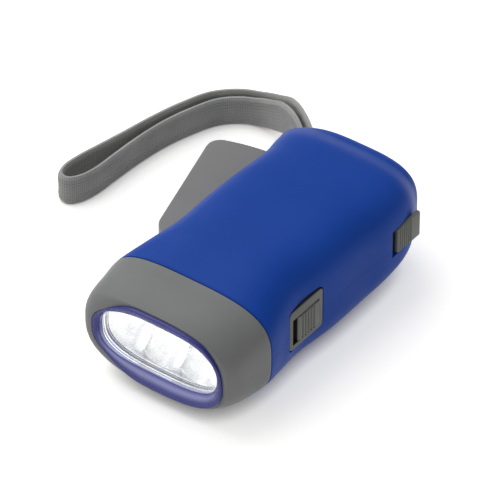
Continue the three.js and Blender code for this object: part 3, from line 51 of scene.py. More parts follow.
# Body skin: shares of the length, half widths and half height; as the solid's, but with a lower head roof
body = {
    "length": 104, "halfWidth": 28.5, "halfHeight": 18.5, "middleZ": 18.2, "wall": 2, "headLength": 18,
    "seamGap": 0.03, "headSeam": 0.22, "gap": 0.3, "slideGap": 0.4, "edge": 0.14,
    "rearDome": 0.9, "domeReach": 6, "sides": 176, "ringStep": 1.1,
}
sideKeys = ("right", "left", "tall", "roof", "square")
stationShares = [dict(zip(("along",) + sideKeys, row)) for row in (
    (0, 0.856, 0.9, 0.768, 0.692, 2.7),
    (0.048, 0.94, 0.957, 0.859, 0.782, 2.8),
    (0.106, 0.972, 0.978, 0.908, 0.83, 3.0),
    (0.173, 0.993, 1, 0.925, 0.845, 3.2),
    (0.26, 0.937, 0.888, 0.984, 0.962, 3.5),
    (0.365, 0.891, 0.79, 1, 1, 3.8),
    (0.5, 0.93, 0.786, 0.995, 0.995, 4),
    (0.635, 0.94, 0.779, 0.97, 0.97, 4),
    (0.77, 0.958, 0.779, 0.925, 0.925, 3.7),
    (0.865, 0.912, 0.846, 0.87, 0.87, 3.5),
    (0.933, 0.782, 0.884, 0.72, 0.72, 3.3),
    (0.976, 0.68, 0.684, 0.63, 0.63, 3.2),
    (1, 0.46, 0.456, 0.39, 0.39, 3),
)]
frontY = -body["length"] / 2
rearY = body["length"] / 2
seamY = frontY + body["headLength"]
middleZ = body["middleZ"]


# Mesh helpers

def clamped(value, low=0, high=1):
    return min(max(value, low), high)


def stationAt(y):
    share = clamped((y - frontY) / body["length"])
    last = len(stationShares) - 1
    index = next((i - 1 for i in range(1, last + 1) if stationShares[i]["along"] >= share), last - 1)

    def slope(key, i):
        before = stationShares[max(i - 1, 0)]
        after = stationShares[min(i + 1, last)]
        return (after[key] - before[key]) / (after["along"] - before["along"])

    start = stationShares[index]
    end = stationShares[index + 1]
    span = end["along"] - start["along"]
    t = (share - start["along"]) / span
    values = {}
    for key in sideKeys:
        startSlope = slope(key, index) * span
        endSlope = slope(key, index + 1) * span
        values[key] = (start[key] * (2 * t ** 3 - 3 * t ** 2 + 1) + startSlope * (t ** 3 - 2 * t ** 2 + t)
                       + end[key] * (3 * t ** 2 - 2 * t ** 3) + endSlope * (t ** 3 - t ** 2))
    return values


def skinRing(y, inset):
    station = stationAt(y)
    wide, tall = body["halfWidth"], body["halfHeight"]
    return {
        "y": y, "right": station["right"] * wide - inset, "left": station["left"] * wide - inset,
        "tall": station["tall"] * tall - inset, "roof": station["roof"] * tall - inset,
        "square": station["square"],
    }


def mixedRing(a, b, share, y):
    return {**{key: a[key] * (1 - share) + b[key] * share for key in sideKeys}, "y": y}


def ringPlace(ring, turn):
    power = 2 / ring["square"]
    across = abs(math.cos(turn)) ** power
    upward = abs(math.sin(turn)) ** power
    side = ring["right"] if math.cos(turn) > 0 else -ring["left"]
    height = ring["roof"] if math.sin(turn) > 0 else -ring["tall"]
    return across * side, middleZ + upward * height


# Points at even distances along a ring, from the +X side round over the roof
def ringPoints(ring, count, startTurn=0.0, endTurn=2 * math.pi, closed=True):
    steps = 480
    fine = [ringPlace(ring, startTurn + (endTurn - startTurn) * i / steps) for i in range(steps + 1)]
    reach = [0.0]
    for a, b in zip(fine, fine[1:]):
        reach.append(reach[-1] + math.hypot(b[0] - a[0], b[1] - a[1]))
    points = []
    index = 0
    spans = count if closed else count - 1
    for i in range(count):
        target = reach[-1] * i / spans
        while index < steps - 1 and reach[index + 1] < target:
            index += 1
        step = reach[index + 1] - reach[index]
        share = (target - reach[index]) / step if step > 0 else 0
        x = fine[index][0] + (fine[index + 1][0] - fine[index][0]) * share
        z = fine[index][1] + (fine[index + 1][1] - fine[index][1]) * share
        points.append((x, ring["y"], z))
    return points


def ringRow(ring):
    return ringPoints(ring, body["sides"])


# Faces between rows of points; rows and columns can each close on themselves
def gridFaces(rowCount, columnCount, closedRows, closedColumns, first=0):
    faces = []
    for r in range(rowCount if closedRows else rowCount - 1):
        for c in range(columnCount if closedColumns else columnCount - 1):
            nextRow = (r + 1) % rowCount
            nextColumn = (c + 1) % columnCount
            faces.append((
                first + r * columnCount + c, first + r * columnCount + nextColumn,
                first + nextRow * columnCount + nextColumn, first + nextRow * columnCount + c,
            ))
    return faces


# The two ends of a grid's rows as faces
def endFaces(rowCount, count):
    return [tuple(range(count)), tuple(range((rowCount - 1) * count, rowCount * count))]


def cornerCurve(start, corner, end, steps, first=0):
    points = []
    for k in range(first, steps + 1):
        t = k / steps
        spot = start * (1 - t) ** 2 + corner * 2 * t * (1 - t) + end * t ** 2
        points.append((spot.x, spot.y))
    return points


# Rounds the corners of an outline with short curves; each corner is (a, b, radius)
def softened(corners, steps=5, closed=True):
    points = []
    count = len(corners)
    for i, (a, b, radius) in enumerate(corners):
        here = Vector((a, b))
        if radius == 0 or (not closed and i in (0, count - 1)):
            points.append((a, b))
            continue
        before = Vector(corners[i - 1][:2]) - here
        after = Vector(corners[(i + 1) % count][:2]) - here
        reach = min(radius, before.length / 2, after.length / 2)
        start = here + before.normalized() * reach
        end = here + after.normalized() * reach
        points += cornerCurve(start, here, end, steps)
    return points


# Makes a mesh; points that carry values, given as lists by name, aren't welded
def newObject(name, points, faces, values=None):
    mesh = bpy.data.meshes.new(name)
    mesh.from_pydata([(x * metre, y * metre, z * metre) for x, y, z in points], [], faces)
    for key, numbers in (values or {}).items():
        mesh.attributes.new(key, "FLOAT", "POINT").data.foreach_set("value", numbers)
    shape = bmesh.new()
    shape.from_mesh(mesh)
    if values is None:
        bmesh.ops.remove_doubles(shape, verts=shape.verts, dist=1e-7)
    bmesh.ops.recalc_face_normals(shape, faces=shape.faces)
    shape.to_mesh(mesh)
    shape.free()
    piece = bpy.data.objects.new(name, mesh)
    bpy.context.collection.objects.link(piece)
    return piece


# A prism between two rings of as many points
def prism(name, low, high):
    count = len(low)
    return newObject(name, low + high, gridFaces(2, count, False, True) + endFaces(2, count))


# Over an outline in the plan, between two heights
def slab(name, outline, z0, z1):
    return prism(name, [(x, y, z0) for x, y in outline], [(x, y, z1) for x, y in outline])


# Over an outline given as (y, z), between two x places
def sideSlab(name, outline, x0, x1):
    return prism(name, [(x0, y, z) for y, z in outline], [(x1, y, z) for y, z in outline])


def circle(x, y, radius, sides=40):
    return [(x + radius * math.cos(2 * math.pi * i / sides), y + radius * math.sin(2 * math.pi * i / sides))
            for i in range(sides)]


def box(name, x0, x1, y0, y1, z0, z1):
    return slab(name, [(x0, y0), (x1, y0), (x1, y1), (x0, y1)], z0, z1)


def roundedBox(x0, x1, y0, y1, radius, steps=6):
    return softened([(x0, y0, radius), (x1, y0, radius), (x1, y1, radius), (x0, y1, radius)], steps)


# A turned shape: the profile lists (radius, height) from axis to axis; place maps it into the frame
def turnedPoints(profile, sides, place):
    points = []
    for radius, height in profile:
        for i in range(sides):
            turn = 2 * math.pi * i / sides
            points.append(place(radius * math.cos(turn), radius * math.sin(turn), height))
    faces = gridFaces(len(profile), sides, False, True)
    return points, faces


def turned(name, profile, sides, place):
    points, faces = turnedPoints(profile, sides, place)
    return newObject(name, points, faces)


def applyModifiers(piece):
    view = bpy.context.evaluated_depsgraph_get()
    view.update()
    done = bpy.data.meshes.new_from_object(piece.evaluated_get(view))
    done.name = piece.name
    piece.modifiers.clear()
    piece.data = done


def combined(base, tool, operation):
    modifier = base.modifiers.new("combine", "BOOLEAN")
    modifier.operation = operation
    modifier.solver = "EXACT"
    modifier.object = tool
    applyModifiers(base)
    bpy.data.objects.remove(tool)
    return base


def cut(base, *tools):
    for tool in tools:
        combined(base, tool, "DIFFERENCE")
    return base


def joined(base, *tools):
    for tool in tools:
        combined(base, tool, "UNION")
    return base


def bevelled(piece, width, segments=3, angle=35):
    modifier = piece.modifiers.new("edges", "BEVEL")
    modifier.width = width * metre
    modifier.segments = segments
    modifier.limit_method = "ANGLE"
    modifier.angle_limit = math.radians(angle)
    modifier.use_clamp_overlap = True
    applyModifiers(piece)
    return piece


def smoothed(piece, angle=32):
    for face in piece.data.polygons:
        face.use_smooth = True
    piece.data.set_sharp_from_angle(angle=math.radians(angle))


# Gives a piece its finish, its body and the solids that it stands for
def fitted(piece, material, bodyName, slot, *nodes, angle=32):
    smoothed(piece, angle)
    piece.data.materials.clear()
    piece.data.materials.append(material)
    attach(piece, bodyName)
    if nodes:
        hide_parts(*nodes)
    return piece


# Camera: eye and target in millimetres, near and far in metres

camera = {
    "eye": (684.926, -926.724, 972.294), "target": (-5.95, 1.72, 18.0), "lens": 372.08, "sensor": 36,
    "near": 0.05, "far": 20,
}


def makeCamera():
    data = bpy.data.cameras.new("camera")
    data.lens = camera["lens"]
    data.sensor_width = camera["sensor"]
    data.sensor_fit = "HORIZONTAL"
    data.clip_start = camera["near"]
    data.clip_end = camera["far"]
    view = bpy.data.objects.new("camera", data)
    eye = Vector(camera["eye"]) * metre
    target = Vector(camera["target"]) * metre
    view.location = eye
    view.rotation_euler = (target - eye).to_track_quat("-Z", "Y").to_euler()
    bpy.context.collection.objects.link(view)
    bpy.context.scene.camera = view


makeCamera()
print("camera placed")

# Material helpers


def linear(colour):
    return tuple(c / 12.92 if c <= 0.04045 else ((c + 0.055) / 1.055) ** 2.4 for c in colour) + (1.0,)


# A material in the making: its shader, its object coordinates and short ways to add nodes
class Finish:
    def __init__(self, name):
        self.material = bpy.data.materials.new(name)
        self.material.use_nodes = True
        self.nodes = self.material.node_tree.nodes
        self.links = self.material.node_tree.links
        self.shader = self.nodes["Principled BSDF"]
        self.place = self.node("ShaderNodeTexCoord").outputs["Object"]

    # Gives a socket a plain value, a colour as it looks on screen, or another node's output
    def feed(self, socket, value):
        if isinstance(value, (int, float, tuple)):
            onScreen = socket.type == "RGBA" and len(value) == 3
            socket.default_value = linear(value) if onScreen else value
        else:
            self.links.new(value, socket)

    def put(self, inputs):
        for name, value in inputs.items():
            self.feed(self.shader.inputs[name], value)
        return self.material

    def node(self, kind, inputs=None):
        made = self.nodes.new(kind)
        for name, value in (inputs or {}).items():
            self.feed(made.inputs[name], value)
        return made

    def attribute(self, name):
        made = self.node("ShaderNodeAttribute")
        made.attribute_name = name
        return made.outputs["Fac"]

    def noise(self, scale, detail, roughness, place=None):
        return self.node("ShaderNodeTexNoise", {
            "Vector": self.place if place is None else place, "Scale": scale, "Detail": detail,
            "Roughness": roughness,
        }).outputs["Fac"]

    def ramp(self, value, low, high, outLow, outHigh):
        return self.node("ShaderNodeMapRange", {
            "Value": value, "From Min": low, "From Max": high, "To Min": outLow, "To Max": outHigh,
        }).outputs["Result"]

    def calc(self, operation, *values):
        made = self.node("ShaderNodeMath")
        made.operation = operation
        for index, value in enumerate(values):
            self.feed(made.inputs[index], value)
        return made.outputs["Value"]

    # Sockets of the same name differ in type, so the right ones are found by their type
    def mix(self, factor, a, b):
        made = self.node("ShaderNodeMix")
        made.data_type = "RGBA"
        colours = [socket for socket in made.inputs if socket.type == "RGBA"]
        share = next(socket for socket in made.inputs if socket.name == "Factor" and socket.type == "VALUE")
        for socket, value in ((share, factor), (colours[0], a), (colours[1], b)):
            self.feed(socket, value)
        return next(socket for socket in made.outputs if socket.type == "RGBA")

    def bump(self, height, distance, strength=1.0):
        return self.node("ShaderNodeBump", {
            "Strength": strength, "Distance": distance * metre, "Height": height,
        }).outputs["Normal"]


# Moulded plastic: broad tone drift, and fine grain in the gloss and the surface
def mouldedPlastic(name, colour, roughness, grain, drift, specular=0.5):
    made = Finish(name)
    base = linear(colour)[:3]
    deep = tuple(c * (1 - drift * 2) for c in base) + (1.0,)
    pale = tuple(min(c * (1 + drift * 2) + 0.004, 1) for c in base) + (1.0,)
    fine = made.noise(5200, 3, 0.6)
    tone = made.mix(made.ramp(made.noise(38, 2, 0.45), 0.3, 0.7, 0, 1), deep, pale)
    return made.put({
        "Base Color": made.mix(made.ramp(fine, 0.35, 0.75, 0, 0.22), tone, pale),
        "Roughness": made.ramp(made.noise(120, 4, 0.6), 0.25, 0.75, roughness - 0.05, roughness + 0.06),
        "Specular IOR Level": specular, "IOR": 1.5, "Normal": made.bump(fine, grain),
    })


# Plated or turned metal: fine scratches along one axis over a broken-up gloss
def metalFinish(name, colour, roughness, axis=(1, 1, 12), scratch=0.004, dirt=0.25):
    made = Finish(name)
    stretched = made.node("ShaderNodeMapping", {"Scale": axis, "Vector": made.place}).outputs["Vector"]
    scratches = made.noise(900, 4, 0.7, stretched)
    base = linear(colour)
    dark = tuple(c * (1 - dirt) for c in base[:3]) + (1.0,)
    return made.put({
        "Base Color": made.mix(made.ramp(made.noise(180, 4, 0.55), 0.35, 0.7, 0, 1), dark, base),
        "Metallic": 1.0, "Roughness": made.ramp(scratches, 0.3, 0.7, roughness - 0.06, roughness + 0.1),
        "Normal": made.bump(scratches, scratch),
    })


bluePlastic = mouldedPlastic("body_blue", (0.06, 0.275, 0.665), 0.45, 0.005, 0.02, 0.12)
headPlastic = mouldedPlastic("head_grey", (0.495, 0.5, 0.5), 0.48, 0.007, 0.02, 0.35)
leverPlastic = mouldedPlastic("lever_grey", (0.525, 0.525, 0.525), 0.5, 0.007, 0.015, 0.3)
sliderPlastic = mouldedPlastic("slider_grey", (0.47, 0.48, 0.455), 0.5, 0.01, 0.04, 0.35)
platePlastic = mouldedPlastic("plate_grey", (0.44, 0.45, 0.43), 0.52, 0.01, 0.04, 0.35)
gearPlastic = mouldedPlastic("gear_acetal", (0.92, 0.91, 0.87), 0.36, 0.004, 0.02)
# Black plastic of the inner parts; also put into slots and pockets as painted shadow
blackPlasticAndPaintedShade = mouldedPlastic("black_plastic", (0.13, 0.13, 0.14), 0.5, 0.01, 0.1)
steelFinish = metalFinish("bright_steel", (0.76, 0.77, 0.78), 0.26)
flywheelFinish = metalFinish("turned_steel", (0.66, 0.67, 0.69), 0.32, (1, 1, 30), 0.006)
cellFinish = metalFinish("cell_nickel", (0.78, 0.79, 0.80), 0.2, (14, 1, 1), 0.003, 0.15)
magnetFinish = metalFinish("magnet_dark", (0.27, 0.27, 0.29), 0.5, (1, 1, 1), 0.01, 0.45)
coreFinish = metalFinish("core_sheets", (0.45, 0.46, 0.48), 0.42, (1, 1, 120), 0.02, 0.35)


# Translucent ring: deep violet, with painted light: a painted lavender highlight and a painted glow low on
# the slope and on the wall round the window
def violetFinish():
    made = Finish("ring_violet")
    broad = made.noise(60, 3, 0.5)
    paintedGlow = made.attribute("lampGlow")
    deep = (0.19, 0.19, 0.52)
    pale = (0.26, 0.265, 0.60)
    plain = made.mix(made.ramp(broad, 0.3, 0.7, 0, 1), deep, pale)
    # Painted highlight and glow: the glow attribute mixes lavender into the colour and drives the emission
    return made.put({
        "Base Color": made.mix(paintedGlow, plain, (0.66, 0.67, 0.86)),
        "Roughness": made.ramp(made.noise(2400, 2, 0.5), 0.3, 0.7, 0.2, 0.3),
        "Specular IOR Level": 0.3, "Coat Weight": 0.2, "Coat Roughness": 0.2,
        "Subsurface Weight": 0.25, "Subsurface Radius": (0.6, 0.6, 1.0), "Subsurface Scale": 1.2 * metre,
        "Emission Color": (0.80, 0.81, 0.95),
        "Emission Strength": made.ramp(paintedGlow, 0.0, 1.0, 0.0, 0.38),
        "Normal": made.bump(broad, 0.05, 0.5),
    })


# Clear window: polished plastic with faint moulding waves
def windowFinish():
    made = Finish("window_clear")
    return made.put({
        "Base Color": (0.99, 0.99, 0.985), "Transmission Weight": 1.0, "IOR": 1.46,
        "Roughness": made.ramp(made.noise(3000, 3, 0.7), 0.55, 0.8, 0.02, 0.12),
        "Normal": made.bump(made.noise(90, 2, 0.4), 0.03, 0.4),
    })


# Mirror film with painted lamp light in its emission: a painted glow, palest in the cups, greyer on the flat,
# and painted shade on the creases between cups
def mirrorFinish():
    made = Finish("mirror_film")
    facets = made.node("ShaderNodeTexVoronoi", {"Vector": made.place, "Scale": 300})
    facets.feature = "DISTANCE_TO_EDGE"
    facet = facets.outputs["Distance"]
    paintedGlow = made.noise(260, 3, 0.6)
    flat = made.mix(paintedGlow, (0.62, 0.64, 0.65), (0.80, 0.815, 0.815))
    bright = made.mix(made.ramp(facet, 0.0, 0.06, 0, 1), (0.88, 0.885, 0.89), (0.95, 0.955, 0.95))
    shade = made.mix(made.ramp(made.attribute("cupDepth"), 0.0, 2.2, 0, 1), flat, bright)
    # Painted shade along the creases between cups
    paintedCreaseShade = made.ramp(made.attribute("cupLine"), 0.0, 1.0, 0, 0.6)
    return made.put({
        "Base Color": (0.84, 0.85, 0.86), "Metallic": 0.9,
        "Roughness": made.ramp(paintedGlow, 0.3, 0.7, 0.16, 0.34), "Normal": made.bump(facet, 0.12, 0.5),
        "Emission Color": made.mix(paintedCreaseShade, shade, (0.45, 0.46, 0.47)),
        "Emission Strength": made.ramp(paintedGlow, 0.3, 0.7, 0.74, 0.84),
    })


def lampFinish():
    made = Finish("lamp_epoxy")
    haze = made.noise(700, 3, 0.5)
    return made.put({
        "Base Color": (0.95, 0.97, 1.0), "Roughness": made.ramp(haze, 0.3, 0.7, 0.05, 0.12),
        "Emission Color": (0.93, 0.96, 1.0),
        "Emission Strength": made.ramp(haze, 0.3, 0.7, 0.72, 0.88), "Normal": made.bump(haze, 0.01),
    })


# Enamelled copper: stripes of wire along the coil
def coilFinish():
    made = Finish("coil_wire")
    turns = made.node("ShaderNodeTexWave", {"Vector": made.place, "Scale": 870, "Distortion": 0.6})
    turns.bands_direction = "Y"
    stripe = turns.outputs["Fac"]
    return made.put({
        "Base Color": made.mix(stripe, (0.36, 0.15, 0.06), (0.80, 0.45, 0.22)),
        "Metallic": 0.85, "Roughness": made.ramp(stripe, 0, 1, 0.42, 0.24), "Normal": made.bump(stripe, 0.07),
    })


# Circuit board: solder mask over raised tracks, with tinned pads
def boardFinish():
    made = Finish("board_green")
    track = made.node("ShaderNodeTexBrick", {
        "Vector": made.place, "Scale": 260, "Mortar Size": 0.03, "Color1": (0, 0, 0, 1),
        "Color2": (0.08, 0.08, 0.08, 1), "Mortar": (1, 1, 1, 1),
    }).outputs["Fac"]
    pads = made.node("ShaderNodeTexVoronoi", {"Vector": made.place, "Scale": 330}).outputs["Distance"]
    pad = made.ramp(pads, 0.14, 0.16, 1, 0)
    mask = made.mix(track, (0.10, 0.33, 0.17), (0.22, 0.52, 0.27))
    return made.put({
        "Base Color": made.mix(pad, mask, (0.78, 0.78, 0.76)), "Metallic": pad,
        "Roughness": made.ramp(pad, 0, 1, 0.35, 0.28),
        "Normal": made.bump(made.calc("MAXIMUM", track, pad), 0.04),
    })


# Knitted webbing: chevrons of yarn in channels along the strap, painted darker in the grooves as shade, with
# a soft nap and pale edges
def webbingFinish():
    channelWidth = 1.1
    stitchLength = 0.6
    middle = 5.0
    edgeStart = 3.7
    edgeEnd = 4.8
    made = Finish("strap_webbing")
    across = made.attribute("acrossStrap")
    channel = made.calc("FRACT", made.calc("MULTIPLY", across, 1 / channelWidth))
    fold = made.calc("ABSOLUTE", made.calc("SUBTRACT", channel, 0.5))
    stitch = made.calc("MULTIPLY", made.attribute("alongStrap"), 1 / stitchLength)
    lean = made.calc("MULTIPLY_ADD", fold, 1.3, stitch)
    loop = made.calc("SINE", made.calc("MULTIPLY", lean, 2 * math.pi))
    knit = made.calc("MULTIPLY_ADD", loop, 0.5, 0.5)
    groove = made.ramp(fold, 0.36, 0.5, 1, 0)
    fuzz = made.noise(2600, 4, 0.7)
    height = made.calc("MULTIPLY_ADD", knit, groove, made.calc("MULTIPLY", fuzz, 0.9))
    # Painted shade: the colour follows the knit's height, darker in its grooves and valleys
    tone = made.calc("MULTIPLY_ADD", made.noise(90, 2, 0.5), 0.35, made.calc("MULTIPLY", height, 0.42))
    aside = made.calc("ABSOLUTE", made.calc("SUBTRACT", across, middle))
    tone = made.calc("ADD", tone, made.ramp(aside, edgeStart, edgeEnd, -0.04, 0.18))
    return made.put({
        "Base Color": made.mix(tone, (0.40, 0.40, 0.395), (0.80, 0.80, 0.79)),
        "Roughness": made.ramp(fuzz, 0.2, 0.8, 0.85, 1.0), "Specular IOR Level": 0.15,
        "Sheen Weight": 0.35, "Sheen Roughness": 0.5, "Normal": made.bump(height, 0.12),
    })


violetPlastic = violetFinish()
windowPlastic = windowFinish()
epoxy = lampFinish()
copperWire = coilFinish()
greenBoard = boardFinish()
webbing = webbingFinish()
print("finishes made")

# Wrist strap: a knitted band on edge, along the same route as its solid

strap = {
    "width": 10, "thickness": 2, "ridges": 4, "ridgeDepth": 0.28, "stepsAlong": 520, "pointsAcross": 26,
    "route": [
        (-18.2, 47.0, 17.2), (-20.8, 49.3, 17.2), (-25.0, 52.9, 17.0), (-30.6, 57.5, 16.2),
        (-37.5, 62.3, 13.4), (-44.6, 66.5, 8.8), (-51.8, 68.2, 5.7), (-57.4, 66.4, 5.1),
        (-62.6, 61.4, 5.1), (-66.4, 52.7, 5.1), (-69.1, 43.0, 5.1), (-70.6, 32.4, 5.1),
        (-71.3, 21.4, 5.1), (-71.7, 13.4, 5.1), (-73.1, 7.6, 5.1), (-75.7, 4.4, 5.1),
        (-78.5, 4.8, 5.1), (-79.9, 8.4, 5.1), (-79.4, 14.4, 5.1), (-77.7, 22.3, 5.1),
        (-75.5, 32.3, 5.1), (-73.3, 42.9, 5.1), (-70.4, 53.4, 5.1), (-66.1, 63.3, 5.1),
        (-59.4, 69.6, 5.1), (-52.0, 71.8, 5.7), (-43.7, 70.1, 8.8), (-36.2, 65.6, 13.4),
        (-28.8, 59.8, 16.2), (-23.1, 55.0, 17.0), (-18.2, 51.5, 17.2), (-15.6, 49.6, 17.2),
    ],
}


# A place on the smooth curve through the route's points, the curve that the solid follows
def routePlace(points, share):
    last = len(points) - 1
    spot = share * last
    index = min(int(spot), last - 1)
    t = spot - index
    here = points[index]
    there = points[index + 1]
    before = points[index - 1] if index > 0 else points[0] * 2 - points[1]
    beyond = points[index + 2] if index + 2 <= last else points[last] * 2 - points[last - 1]
    d0 = (here - before).length ** 0.5
    d1 = (there - here).length ** 0.5
    d2 = (beyond - there).length ** 0.5
    startSlope = ((here - before) / d0 - (there - before) / (d0 + d1) + (there - here) / d1) * d1
    endSlope = ((there - here) / d1 - (beyond - here) / (d1 + d2) + (beyond - there) / d2) * d1
    return (here + startSlope * t + (there * 3 - here * 3 - startSlope * 2 - endSlope) * t ** 2
            + (here * 2 - there * 2 + startSlope + endSlope) * t ** 3)


# The route as a path of even steps, and its length
def evenRoute(steps):
    points = [Vector(p) for p in strap["route"]]
    fineSteps = 4000
    fine = [routePlace(points, i / fineSteps) for i in range(fineSteps + 1)]
    reach = [0.0]
    for a, b in zip(fine, fine[1:]):
        reach.append(reach[-1] + (b - a).length)
    path = []
    index = 0
    for i in range(steps + 1):
        target = reach[-1] * i / steps
        while index < fineSteps - 1 and reach[index + 1] < target:
            index += 1
        share = (target - reach[index]) / (reach[index + 1] - reach[index])
        path.append(fine[index].lerp(fine[index + 1], share))
    return path, reach[-1]


def makeStrap():
    path, length = evenRoute(strap["stepsAlong"])
    halfWidth = strap["width"] / 2
    halfThick = strap["thickness"] / 2
    across = strap["pointsAcross"]
    section = []
    for side in (1, -1):
        for i in range(across):
            v = math.cos(math.pi * (i + 0.5) / across) * side
            edge = (1 - abs(v) ** 8) ** 0.5
            ridge = math.cos(2 * math.pi * strap["ridges"] * v) * strap["ridgeDepth"] / 2
            depth = halfThick - strap["ridgeDepth"] / 2 + ridge
            section.append((side * depth * max(edge, 0.35), v * halfWidth))
    points = []
    along = []
    acrossValues = []
    for i, centre in enumerate(path):
        ahead = path[min(i + 1, len(path) - 1)]
        behind = path[max(i - 1, 0)]
        heading = (ahead - behind).normalized()
        aside = heading.cross(Vector((0, 0, 1))).normalized()
        tall = aside.cross(heading)
        for a, v in section:
            spot = centre + aside * a + tall * v
            points.append(tuple(spot))
            along.append(length * i / strap["stepsAlong"])
            acrossValues.append(v + halfWidth)
    faces = gridFaces(len(path), len(section), False, True) + endFaces(len(path), len(section))
    piece = newObject("strap", points, faces, {"alongStrap": along, "acrossStrap": acrossValues})
    fitted(piece, webbing, "case", "strap_webbing", "wrist_strap", angle=60)
    print("strap:", round(length, 1), "mm long")


makeStrap()

# Head: bezel, ring, window, reflector and lamps

head = {
    "bezelWall": 2, "lip": 1.5, "ringRecess": 3, "bandWidth": 2, "bandHeight": 3.7, "lensThickness": 1.4,
    "lensSeat": 0.8, "neckWall": 1.4, "neckLength": 4, "cupMargin": 0.4, "cupDepth": 8, "skin": 1,
    "creaseWidth": 0.9,
    "lampRadius": 2.5, "lampLength": 7, "lampFlange": 0.5, "flangeRound": 0.15, "boreLength": 14,
    "legRadius": 0.35, "legSpacing": 2.54, "legLength": 2.6, "legSink": 0.4,
}
# The rounded lip, the ring's face inside it, its rim that wraps the bottom, its painted glow and highlight,
# and the raised window
front = {
    "seamRound": 0.35, "lipBend": 3.6, "lipRound": 2.9, "lipInset": 3.3, "lipDepth": 1, "edgeRound": 0.12,
    "lipStart": 0.35, "lipStartRise": -0.12, "lipStartFall": 0.2, "rightLip": 0.34, "rightStart": 0.7,
    "rightLow": 0.9, "rightSpan": 1.5,
    "ringInset": 3.38, "ringDrop": 0.12, "ringFace": 0.3, "ringRound": 0.1, "ringDepth": 0.9,
    "ringPower": 2.2, "rimBack": 1.15, "rimInset": 0.1, "rimFace": 0.9, "rimRound": 1.1, "rimDepth": 1.7,
    "rimPower": 1.6, "rimSeam": 0.08, "wallStep": 0.06,
    "paintedEdgeGlow": 0.3, "edgeRows": 3, "paintedSlopeHighlight": 0.5, "slopeRow": 9, "slopeRows": 6,
    "paintedGlowStart": 0.2, "paintedGlowSpan": 0.6, "paintedGlowLeast": 0.3,
    "windowRight": 21.2, "windowLeft": 20.1, "windowRoof": 9.15, "windowFloor": 9.2, "windowSquare": 2.9,
    "lensFace": 1.9, "lensRound": 0.35, "lensGap": 0.1, "lensWall": 0.15, "lensDome": 0.25,
}
windowY = frontY + head["ringRecess"]
lensFrontY = windowY + head["lensSeat"] + body["gap"]
lensBackY = lensFrontY + head["lensThickness"]
reflectorY = lensBackY + body["gap"]
ringOuter = skinRing(frontY, head["lip"] + body["gap"])
solidRight = ringOuter["right"] - head["bandWidth"]
solidLeft = ringOuter["left"] - head["bandWidth"]
cupRadius = ringOuter["tall"] - head["bandHeight"] - head["cupMargin"]
cupSpacing = (solidRight + solidLeft) / 2 - cupRadius
lampXs = [(solidRight - solidLeft) / 2 + (i - 1) * cupSpacing for i in range(3)]


# The window's outline at y, moved outwards by extra and scaled by share
def windowRing(y, extra=0.0, share=1.0):
    sides = {"right": "windowRight", "left": "windowLeft", "tall": "windowFloor", "roof": "windowRoof"}
    ring = {side: (front[size] + extra) * share for side, size in sides.items()}
    return {**ring, "y": y, "square": front["windowSquare"]}


# How far the bezel's lip comes round the ring: whole at the left end, partly at the right, gone between them
def lipShares():
    shares = []
    face = skinRing(frontY, 0)
    for x, y, z in ringRow(face):
        height = (z - middleZ) / face["tall"]
        start = front["lipStart"] + height * front["lipStartRise" if height > 0 else "lipStartFall"]
        left = clamped((-x / face["left"] - start) / (1 - start))
        right = clamped((x / face["right"] - front["rightStart"]) / (1 - front["rightStart"]))
        right *= front["rightLip"] * clamped((height + front["rightLow"]) / front["rightSpan"])
        shares.append(max(left * left * (3 - 2 * left), right))
    return shares


# Mixes two lists of rings point by point, by the lip's share at each place
def lipMixed(withLip, withoutLip):
    shares = lipShares()
    points = []
    for lipRing, rimRing in zip(withLip, withoutLip):
        for a, b, share in zip(ringRow(lipRing), ringRow(rimRing), shares):
            points.append(tuple(a[k] * share + b[k] * (1 - share) for k in range(3)))
    return points


# Rings of the bezel: its seam, outer skin, bend to the front edge, lip, and wall inside
def bezelRows(edgeY, bendLength, bendInset, lipInset, lipDepth):
    wall = head["bezelWall"]
    corner = front["edgeRound"]
    parts = 18
    bendSteps = 10
    rows = softened([(seamY, wall, 0), (seamY, 0, front["seamRound"]), (edgeY + bendLength, 0, 0)], 6,
                    closed=False)
    last = rows.pop()[0]
    first = rows[-1][0]
    rows += [(first + (last - first) * i / parts, 0.0) for i in range(1, parts + 1)]
    for i in range(1, bendSteps + 1):
        t = i / bendSteps
        rows.append((edgeY + bendLength * (1 - t) ** 2, bendInset * t ** 2))
    rows += [(edgeY, lipInset - corner), (edgeY + corner, lipInset), (edgeY + lipDepth, lipInset),
             (edgeY + lipDepth, head["lip"]), (windowY, head["lip"]), (windowY + 2, wall)]
    return [skinRing(y, inset) for y, inset in rows]


def makeBezel():
    corner = front["edgeRound"]
    withLip = bezelRows(frontY, front["lipBend"], front["lipRound"], front["lipInset"], front["lipDepth"])
    withoutLip = bezelRows(frontY + front["rimBack"] + front["rimSeam"], corner, corner, head["lip"],
                           corner * 2)
    points = lipMixed(withLip, withoutLip)
    faces = gridFaces(len(withLip), body["sides"], True, True)
    fitted(newObject("bezel", points, faces), headPlastic, "case", "head_grey", "head_bezel")


